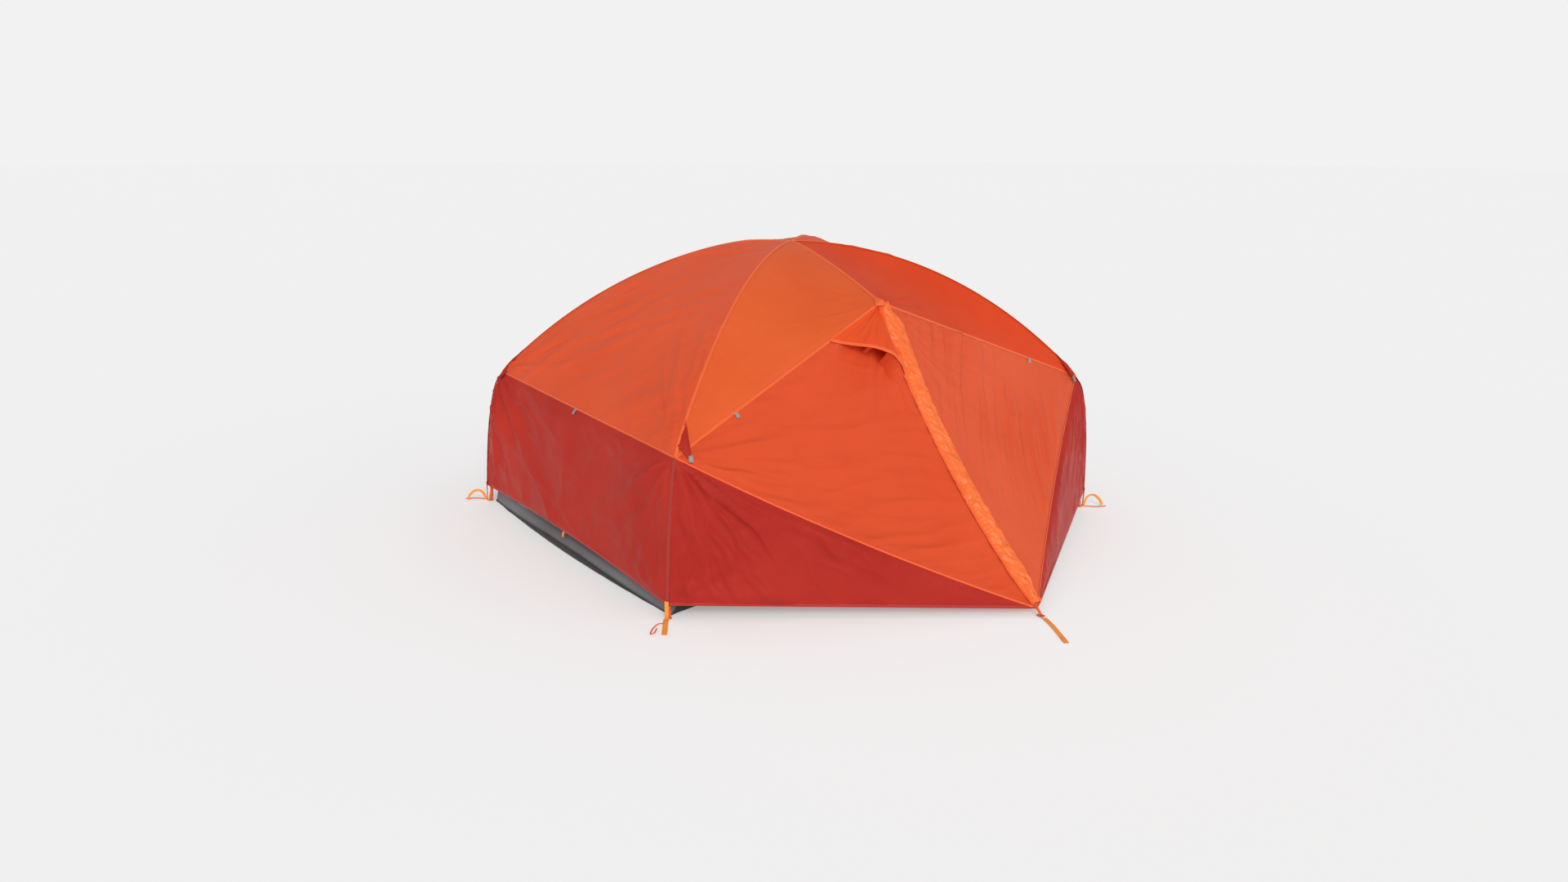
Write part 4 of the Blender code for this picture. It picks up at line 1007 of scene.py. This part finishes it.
def skirt_seam_height(edge):
    """Where the floor cloth ends and the lighter band begins: low at the corners, and higher along the sides
    as painted shade.
    """
    corner = np.prod(np.clip(np.abs(edge) / (FLOOR_HALF_LENGTH, FLOOR_HALF_WIDTH) - 0.2, 0, None), 1)
    at_end = 0.004 + 0.036 * np.clip(1 - corner / 0.60, 0, None)
    # Along the long sides the dark floor cloth reaches higher: painted shade where those sides lie in shadow
    shaded_side_height = 0.004 + 0.048 * smooth_step((FLOOR_HALF_LENGTH - np.abs(edge[:, 0])) / 0.05)
    return np.where(np.repeat([False, True, False, True], len(edge) // 4), shaded_side_height, at_end)


def skirt(name, rings, run, material):
    """A closed band through rings of points. run is how far round the floor they lie."""
    points = np.stack(rings)
    points = np.concatenate([points, points[:, :1]], 1)
    flat = stack(np.append(run, run[-1] + 0.03), np.linspace(0, 0.05, len(rings))[:, None])
    made = grid_object(name, points, material, flat, flat)
    merge_points(made)
    return made


def make_floor_tub():
    """The floor cloth on the ground, and its turned-up skirt with a lighter upper band."""
    edge = floor_line(60)
    height, run = skirt_seam_height(edge), run_of(edge)
    ripple = 0.0022 * noise(run / 0.09, 0, 121) + 0.0016 * noise(run / 0.035, 0.5, 122)
    outwards = unit(edge)
    bulge = edge + outwards * (0.004 + ripple[:, None])
    foot = level(edge * 0.999, height)
    rings = [
        level(edge * 0.6, 0.0012),
        level(edge * 0.985, 0.001),
        level(edge, 0.0012 + np.abs(ripple)),
        level(bulge, height * 0.35),
        level(bulge * 0.9995, height * 0.7),
        foot,
    ]
    outer = skirt("tub_floor_sheet", rings, run, FLOOR_CLOTH)
    closed = np.concatenate([edge, edge[:1]])
    flat = np.stack([closed * 0.6, closed * 0])
    middle = grid_object("floor_middle", level(flat, 0.0012), FLOOR_CLOTH, flat, flat)
    floor = join("tub_floor_sheet", [outer, middle])
    top = level(np.clip(edge, np.negative(SKIRT_INSET), SKIRT_INSET), SKIRT_TOP)
    swell = level(outwards * ripple[:, None], 0)
    wall = [mix(foot, top, share) + swell * 6 * share * (1 - share) for share in (0, 0.04, 0.3, 0.6, 0.9, 1)]
    for piece in (floor, skirt("tub_skirt", wall, run, SKIRT_CLOTH)):
        merge_points(piece, 1e-5)
        put(piece, ["tub_floor"])
    seam = level(closed, np.append(height, height[0]))
    put(ribbon("tub_seam", seam, seam * (1, 1, 0), 0.005, 0.001, THIN_GREY))


SILL = np.array([0, -SILL_HALF_WIDTH, SILL_HEIGHT])
WALL_UP = unit(INNER_PEAK - SILL)
WALL_OUT = np.cross([1.0, 0, 0], WALL_UP)


def on_side_wall(line, depth=0.0):
    """Points of the front side wall from (across, up) in its plane, at this depth behind it."""
    return SILL + line @ np.array([(1, 0, 0), WALL_UP]) - WALL_OUT * depth


def door_line(grow):
    """The D-shaped door's outline in the wall's plane."""
    angle = np.linspace(0, math.pi, 60)
    swell = np.clip(np.sin(angle), 0, None) ** 0.7
    across = DOOR_HINGE - grow + (DOOR_WIDTH + 2 * grow) * swell
    return stack(across, DOOR_MIDDLE - (DOOR_HALF_HEIGHT + grow) * np.cos(angle))


def flat_piece(name, *outlines):
    """Netting in the side wall's plane inside the first outline and outside the others."""
    mesh = bpy.data.meshes.new(name)
    with editing(mesh) as bm:
        edges = []
        for outline in outlines:
            ring = [bm.verts.new(p) for p in on_side_wall(outline, NET_DEPTH)]
            edges += [bm.edges.new((ring[k - 1], ring[k])) for k in range(len(ring))]
        bmesh.ops.triangle_fill(bm, use_beauty=True, edges=edges)
    points = np.array([vertex.co for vertex in mesh.vertices])
    for layer in ("UVMap", "Seam"):
        add_uv(mesh, layer, stack(points[:, 0], points @ WALL_UP))
    return place(name, mesh, NET)


def make_inner_walls():
    knee, peak = (WALL_TOP_HEIGHT - SILL_HEIGHT) / WALL_UP[2], (INNER_PEAK[2] - SILL_HEIGHT) / WALL_UP[2]
    outline = np.array([(-1.12, 0), (1.12, 0), (1.03, knee), (0.03, peak), (-0.03, peak), (-1.03, knee)])
    wall = flat_piece("inner_side_wall_front_net", outline, door_line(0.003))
    settle(wall, "mesh_grey", ["inner_side_wall_front"], held=("hung", "inner_roof"))
    door = flat_piece("inner_door_front_net", door_line(0.0))
    held = ("hung", "inner_side_wall_front")
    settle(door, "mesh_grey", ["inner_door_front"], "front_inner_door", held=held)
    tapes = []
    for line, width in ((door_line(0.010), 0.012), (outline, 0.016)):
        closed = on_side_wall(resample(np.concatenate([line, line[:1]]), shares(160)))
        tapes.append(ribbon("binding", closed, WALL_OUT, width, 0.0012, BINDING))
    settle(join("inner_wall_binding_front", tapes), "wall_grey")
    line = on_side_wall(door_line(-0.008))
    inner_zip = ribbon("inner_door_zip_front", line, WALL_OUT, 0.010, 0.0014, BINDING)
    settle(inner_zip, "zip_coil", body="front_inner_door")


def make_inner_end_wall():
    share, across = shares(31)[:, None], np.linspace(-1, 1, 61)
    y = (0.785 - 0.125 * share) * across
    x = -1.165 + 0.10 * share + 0.012 * hump(share) * np.cos(np.pi / 2 * across)
    x = x + 0.002 * noise(share * 3, across * 7, 131)
    points = stack(x, y, SILL_HEIGHT + (WALL_TOP_HEIGHT - SILL_HEIGHT) * share)
    flat = stack(y, share * 0.545)
    end = grid_object("inner_end_wall_left_sheet", points, WALL_CLOTH, flat, flat)
    settle(end, "wall_grey", ["inner_end_wall_left"], held=("hung", "inner_roof"))


def make_inner_roof():
    """The netting roof, hung a hand's breadth below the poles."""
    roof_line = EDGES[RIGHT][0]
    along = unit(np.gradient(roof_line, axis=0))
    edge = roof_line + stack(along[:, 1], -along[:, 0]) * INNER_GAP
    share = shares(33)
    pole = at_corner(resample(edge, share), LEFT)
    end = np.array([-1.03, -0.655, WALL_TOP_HEIGHT + 0.012])
    pole = pole + (end - pole[-1]) * smooth_step((share - 0.7) / 0.3)[:, None]
    pole[0] = (0, 0, INNER_CROWN)
    ridge_line = mix(pole[0], INNER_PEAK + (0, 0.012, 0.012), share)
    other, mirrored = pole * (1, -1, 1), pole * (-1, 1, 1)
    sides = []
    for first, second, cells in ((pole, other, 40), (ridge_line, pole, 30), (mirrored, ridge_line, 30)):
        across = shares(cells + 1)
        points = mix(first[:, None], second[:, None], across)
        points[..., 2] -= 0.018 * hump(across) * hump(share)[:, None]
        flat = points[..., :2] * 1.1
        sides.append(grid_object("net", points, NET, flat, flat))
    roof = join("inner_roof_left_net", sides)
    merge_points(roof)
    settle(roof, "mesh_grey", ["inner_roof"], held=("hung", "crown_hanger"))


# ---- Webbing ----

# (radius, height) of the eyelet, and from the third on of the webbing round it
EYELET = [(0.0062, 0.0030), (0.0066, 0.0040), (0.0085, 0.0042)]
EYELET += [(0.0105, 0.0030), (0.0145, 0.0030), (0.0147, 0.0008)]

# Places along the webbing, as distances from its start: away from the tent, sideways and up
FLAT_LOOP = [(0, 0, 0.0015), (0.035, -0.012, 0.0065), (0.075, -0.027, 0.0035), (0.125, -0.045, 0.0015)]
CURLED_TAIL = [(0.050, -0.010, 0.008), (0.072, 0.004, 0.012), (0.105, 0.010, 0.006)]
CURLED_TAIL += [(0.140, 0.004, 0.0025), (0.125, -0.006, 0.0030), (0.090, 0.000, 0.0035)]
STANDING_LOOP = [(0, 0, 0.004), (0.018, 0.01, 0.045), (0.050, 0.014, 0.052), (0.080, 0.012, 0.028)]
STANDING_LOOP += [(0.092, 0.008, 0.004)]
FLAT_TAIL = [(0, -0.004, 0.0025), (0.035, -0.012, 0.0025), (0.075, -0.012, 0.0025), (0.108, -0.004, 0.0025)]
TIP_BAND = [(0, 0, 0), (-0.020, -0.045, 0), (-0.050, -0.100, 0), (-0.080, -0.150, 0), (-0.103, -0.188, 0)]
TIP_BACK = [(0.001, 0.002, 0.0016), (0.014, 0.024, 0.0030), (0.024, 0.042, 0.0018)]


def corner_tab(name, centre):
    """A webbing tab on the ground with a metal eyelet, in which the pole tip stands."""
    mesh = bpy.data.meshes.new(name)
    turn = np.linspace(0, 2 * math.pi, 28, endpoint=False)
    with editing(mesh) as bm:
        rings = []
        for radius, height in EYELET:
            ring = centre + stack(radius * np.cos(turn), radius * np.sin(turn), height)
            rings.append([bm.verts.new(point) for point in ring])
        for row, (low, high) in enumerate(zip(rings, rings[1:])):
            for k in range(len(turn)):
                face = bm.faces.new((low[k - 1], low[k], high[k], high[k - 1]))
                face.material_index = int(row < 2)
        bmesh.ops.recalc_face_normals(bm, faces=bm.faces)
    add_uv(mesh, "UVMap", np.array([vertex.co.xy for vertex in mesh.vertices]))
    mesh.shade_smooth()
    return place(name, mesh, WEBBING, ALLOY)


def curve_through(points, count):
    """A smooth curve through points (Catmull-Rom), evenly spaced."""
    points = np.asarray(points, float)
    points = np.concatenate([2 * points[:1] - points[1:2], points, 2 * points[-1:] - points[-2:-1]])
    t = np.linspace(0, 1, 24, endpoint=False)[:, None]
    spans = []
    for a, b, c, d in zip(points, points[1:], points[2:], points[3:]):
        bend, twist = 2 * a - 5 * b + 4 * c - d, 3 * b - a - 3 * c + d
        spans.append(b + ((c - a) * t + bend * t**2 + twist * t**3) / 2)
    return resample(np.concatenate([*spans, points[-2:-1]]), shares(count))


def strap(name, points, width, material, out=UP, count=60):
    return ribbon(name, curve_through(points, count), out, width, 0.0, material, 0.0014)


def foot_sleeve(name, radial, top):
    """A sleeve of webbing over the pole's foot, from the eyelet up to this height."""
    share, turn = shares(16), np.linspace(0, 2 * math.pi, 25)
    height = (0.009 + (top - 0.009) * share)[:, None]
    centre = (POLE_FOOT - height / math.tan(LEG_ANGLE)) * radial + height * UP
    radius = 0.0080 + 0.0012 * np.sin(9 * share) + 0.0010 * np.abs(2 * share - 1)
    ring = np.cos(turn)[:, None] * radial + np.sin(turn)[:, None] * np.cross(UP, radial)
    flat = stack(turn * 0.008, height)
    return grid_object(name, centre[:, None] + radius[:, None, None] * ring, THIN_TAPE, flat, flat)


def make_corner_webbing(hand):
    corner = f"front_{HANDS[hand]}"
    radial = np.array([math.cos(CORNER_ANGLE) * hand, -math.sin(CORNER_ANGLE), 0])
    sideways = np.cross(UP, radial) * hand
    axes = np.array([radial, sideways, UP])
    tab = corner_tab(f"corner_tab_{corner}", radial * POLE_FOOT)
    settle(tab, "webbing_orange", [f"corner_strap_{corner}"])
    hem = wall_edge(0.97, hand)
    down = np.array([(1.4715, 0, 0.035), (1.4735, 0, 0.012), (1.470, 0, 0.0035)]) @ axes
    drop = strap(f"corner_drop_{corner}", [hem + radial * 0.003, *down], 0.016, WEBBING, radial)
    settle(drop, "webbing_orange")
    settle(foot_sleeve(f"foot_sleeve_{corner}", radial, hem[2] - 0.004), "webbing_orange")
    if hand == LEFT:
        loop, width, out, tail, narrow = FLAT_LOOP, 0.020, UP, CURLED_TAIL, 0.005
    else:
        loop, width, out, tail, narrow = STANDING_LOOP, 0.012, UP * 0.5 + sideways, FLAT_TAIL, 0.009
    start = radial * LOOP_START + UP * 0.0035
    body = f"{corner}_loop"
    limp = (f"{body}_lift", [0, 0, 1], [start[0], start[1], HINGE_HEIGHT], LOOP_KEPT)
    loop = strap(f"stake_webbing_{corner}", start + np.array(loop) @ axes, width, WEBBING, out)
    tail = strap(f"stake_tail_{corner}", start + np.array(tail) @ axes, narrow, THIN_TAPE)
    settle(loop, "webbing_orange", [f"stake_loop_{corner}"], body, limp)
    settle(tail, "webbing_orange", body=body, fold=limp)


def make_tip_webbing():
    foot = TIP * (1, 1, 0)
    drop = foot + [(0, 0.006, 0.03), (0, -0.006, 0.022), (0, -0.016, 0.0115)]
    settle(strap("tip_drop_front", drop, 0.014, THIN_TAPE, (0, -0.5, 1)), "webbing_orange")
    points = foot + (0, -0.034, 0.0035) + np.array(TIP_BAND)
    band = strap("band", points, 0.019, WEBBING, count=80)
    back = strap("back", points[-1] + TIP_BACK, 0.017, WEBBING)
    loop = join("stake_webbing_vestibule_front", [band, back])
    settle(loop, "webbing_orange", ["stake_loop_vestibule_front"], "front_tip_loop")


# ---- CAD nodes that stay ----

CAD_LOOKS = {
    "pole_tip": PLASTIC,
    "pole": ALLOY,
    "ridge_pole": ALLOY,
    "shock_cord": ELASTIC,
    "crown_hanger": PLASTIC,
    "vent_prop": PROP,
    "zip_slider": PLASTIC,
    "ladder_lock": BUCKLE,
}


def finish_cad_nodes():
    """Puts these materials on the CAD nodes whose shapes are right."""
    for name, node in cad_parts.items():
        if not node.hide_render:
            kind = max((kind for kind in CAD_LOOKS if name.startswith(kind)), key=len)
            for slot in node.material_slots:
                slot.material = CAD_LOOKS[kind]


# ---- Studio ----


def make_floor():
    mesh = bpy.data.meshes.new("studio_floor")
    with editing(mesh) as bm:
        bmesh.ops.create_circle(bm, cap_ends=True, segments=64, radius=60)
    s = Shader("studio_paper")
    paper = s.colours(s.noise(0.5, 2.0), [FLOOR_TONE - 0.003] * 3, [FLOOR_TONE + 0.003] * 3)
    s.look(Base_Color=paper, Roughness=1.0, Specular_IOR_Level=0.0)
    s.look(Emission_Color=(1, 1, 1, 1), Emission_Strength=FLOOR_GLOW)
    place("studio_floor", mesh, s.material)


def sun_light(name, where, angle, power):
    data = bpy.data.lights.new(name, "SUN")
    data.energy, data.angle = power, math.radians(angle)
    light = place(name, data)
    light.location = where
    light.rotation_euler = (-Vector(where)).to_track_quat("-Z", "Y").to_euler()


def make_studio():
    make_floor()
    world = bpy.data.worlds.new("studio_world")
    world.use_nodes = True
    nodes, links = world.node_tree.nodes, world.node_tree.links
    tone = nodes.new("ShaderNodeMapRange")
    tone.inputs["To Min"].default_value, tone.inputs["To Max"].default_value = SKY_LIGHT, BACKDROP
    links.new(nodes.new("ShaderNodeLightPath").outputs["Is Camera Ray"], tone.inputs["Value"])
    nodes["Background"].inputs[0].default_value = (1, 1, 1, 1)
    links.new(tone.outputs[0], nodes["Background"].inputs[1])
    bpy.context.scene.world = world
    sun_light("key", (-4.5, -7.2, 5.3), 32, KEY_POWER)
    sun_light("fill", (5.6, -6.2, 3.0), 60, FILL_POWER)
    bpy.context.scene.view_settings.view_transform = "Standard"


def make_camera():
    data = bpy.data.cameras.new("camera")
    data.sensor_width, data.lens = 36.0, 24.64
    data.shift_x, data.shift_y = 0.0539, 0.0864
    data.clip_end = 200
    camera = place("camera", data)
    camera.location = (-3.126, -3.996, 1.718)
    azimuth, elevation = math.radians(-33.38), math.radians(22.66)
    flat = math.cos(elevation)
    forward = Vector((-math.sin(azimuth) * flat, math.cos(azimuth) * flat, -math.sin(elevation)))
    camera.rotation_euler = forward.to_track_quat("-Z", "Y").to_euler()
    bpy.context.scene.camera = camera


make_camera()
make_studio()
make_end_roof()
make_end_wall()
make_side_roof(LEFT)
make_side_roof(RIGHT)
make_vestibules()
make_seams()
make_peak_patch()
make_hems()
make_tabs()
make_storm_flap()
make_zip()
make_vent_hood()
make_floor_tub()
make_inner_walls()
make_inner_end_wall()
make_inner_roof()
make_corner_webbing(LEFT)
make_corner_webbing(RIGHT)
make_tip_webbing()
finish_cad_nodes()
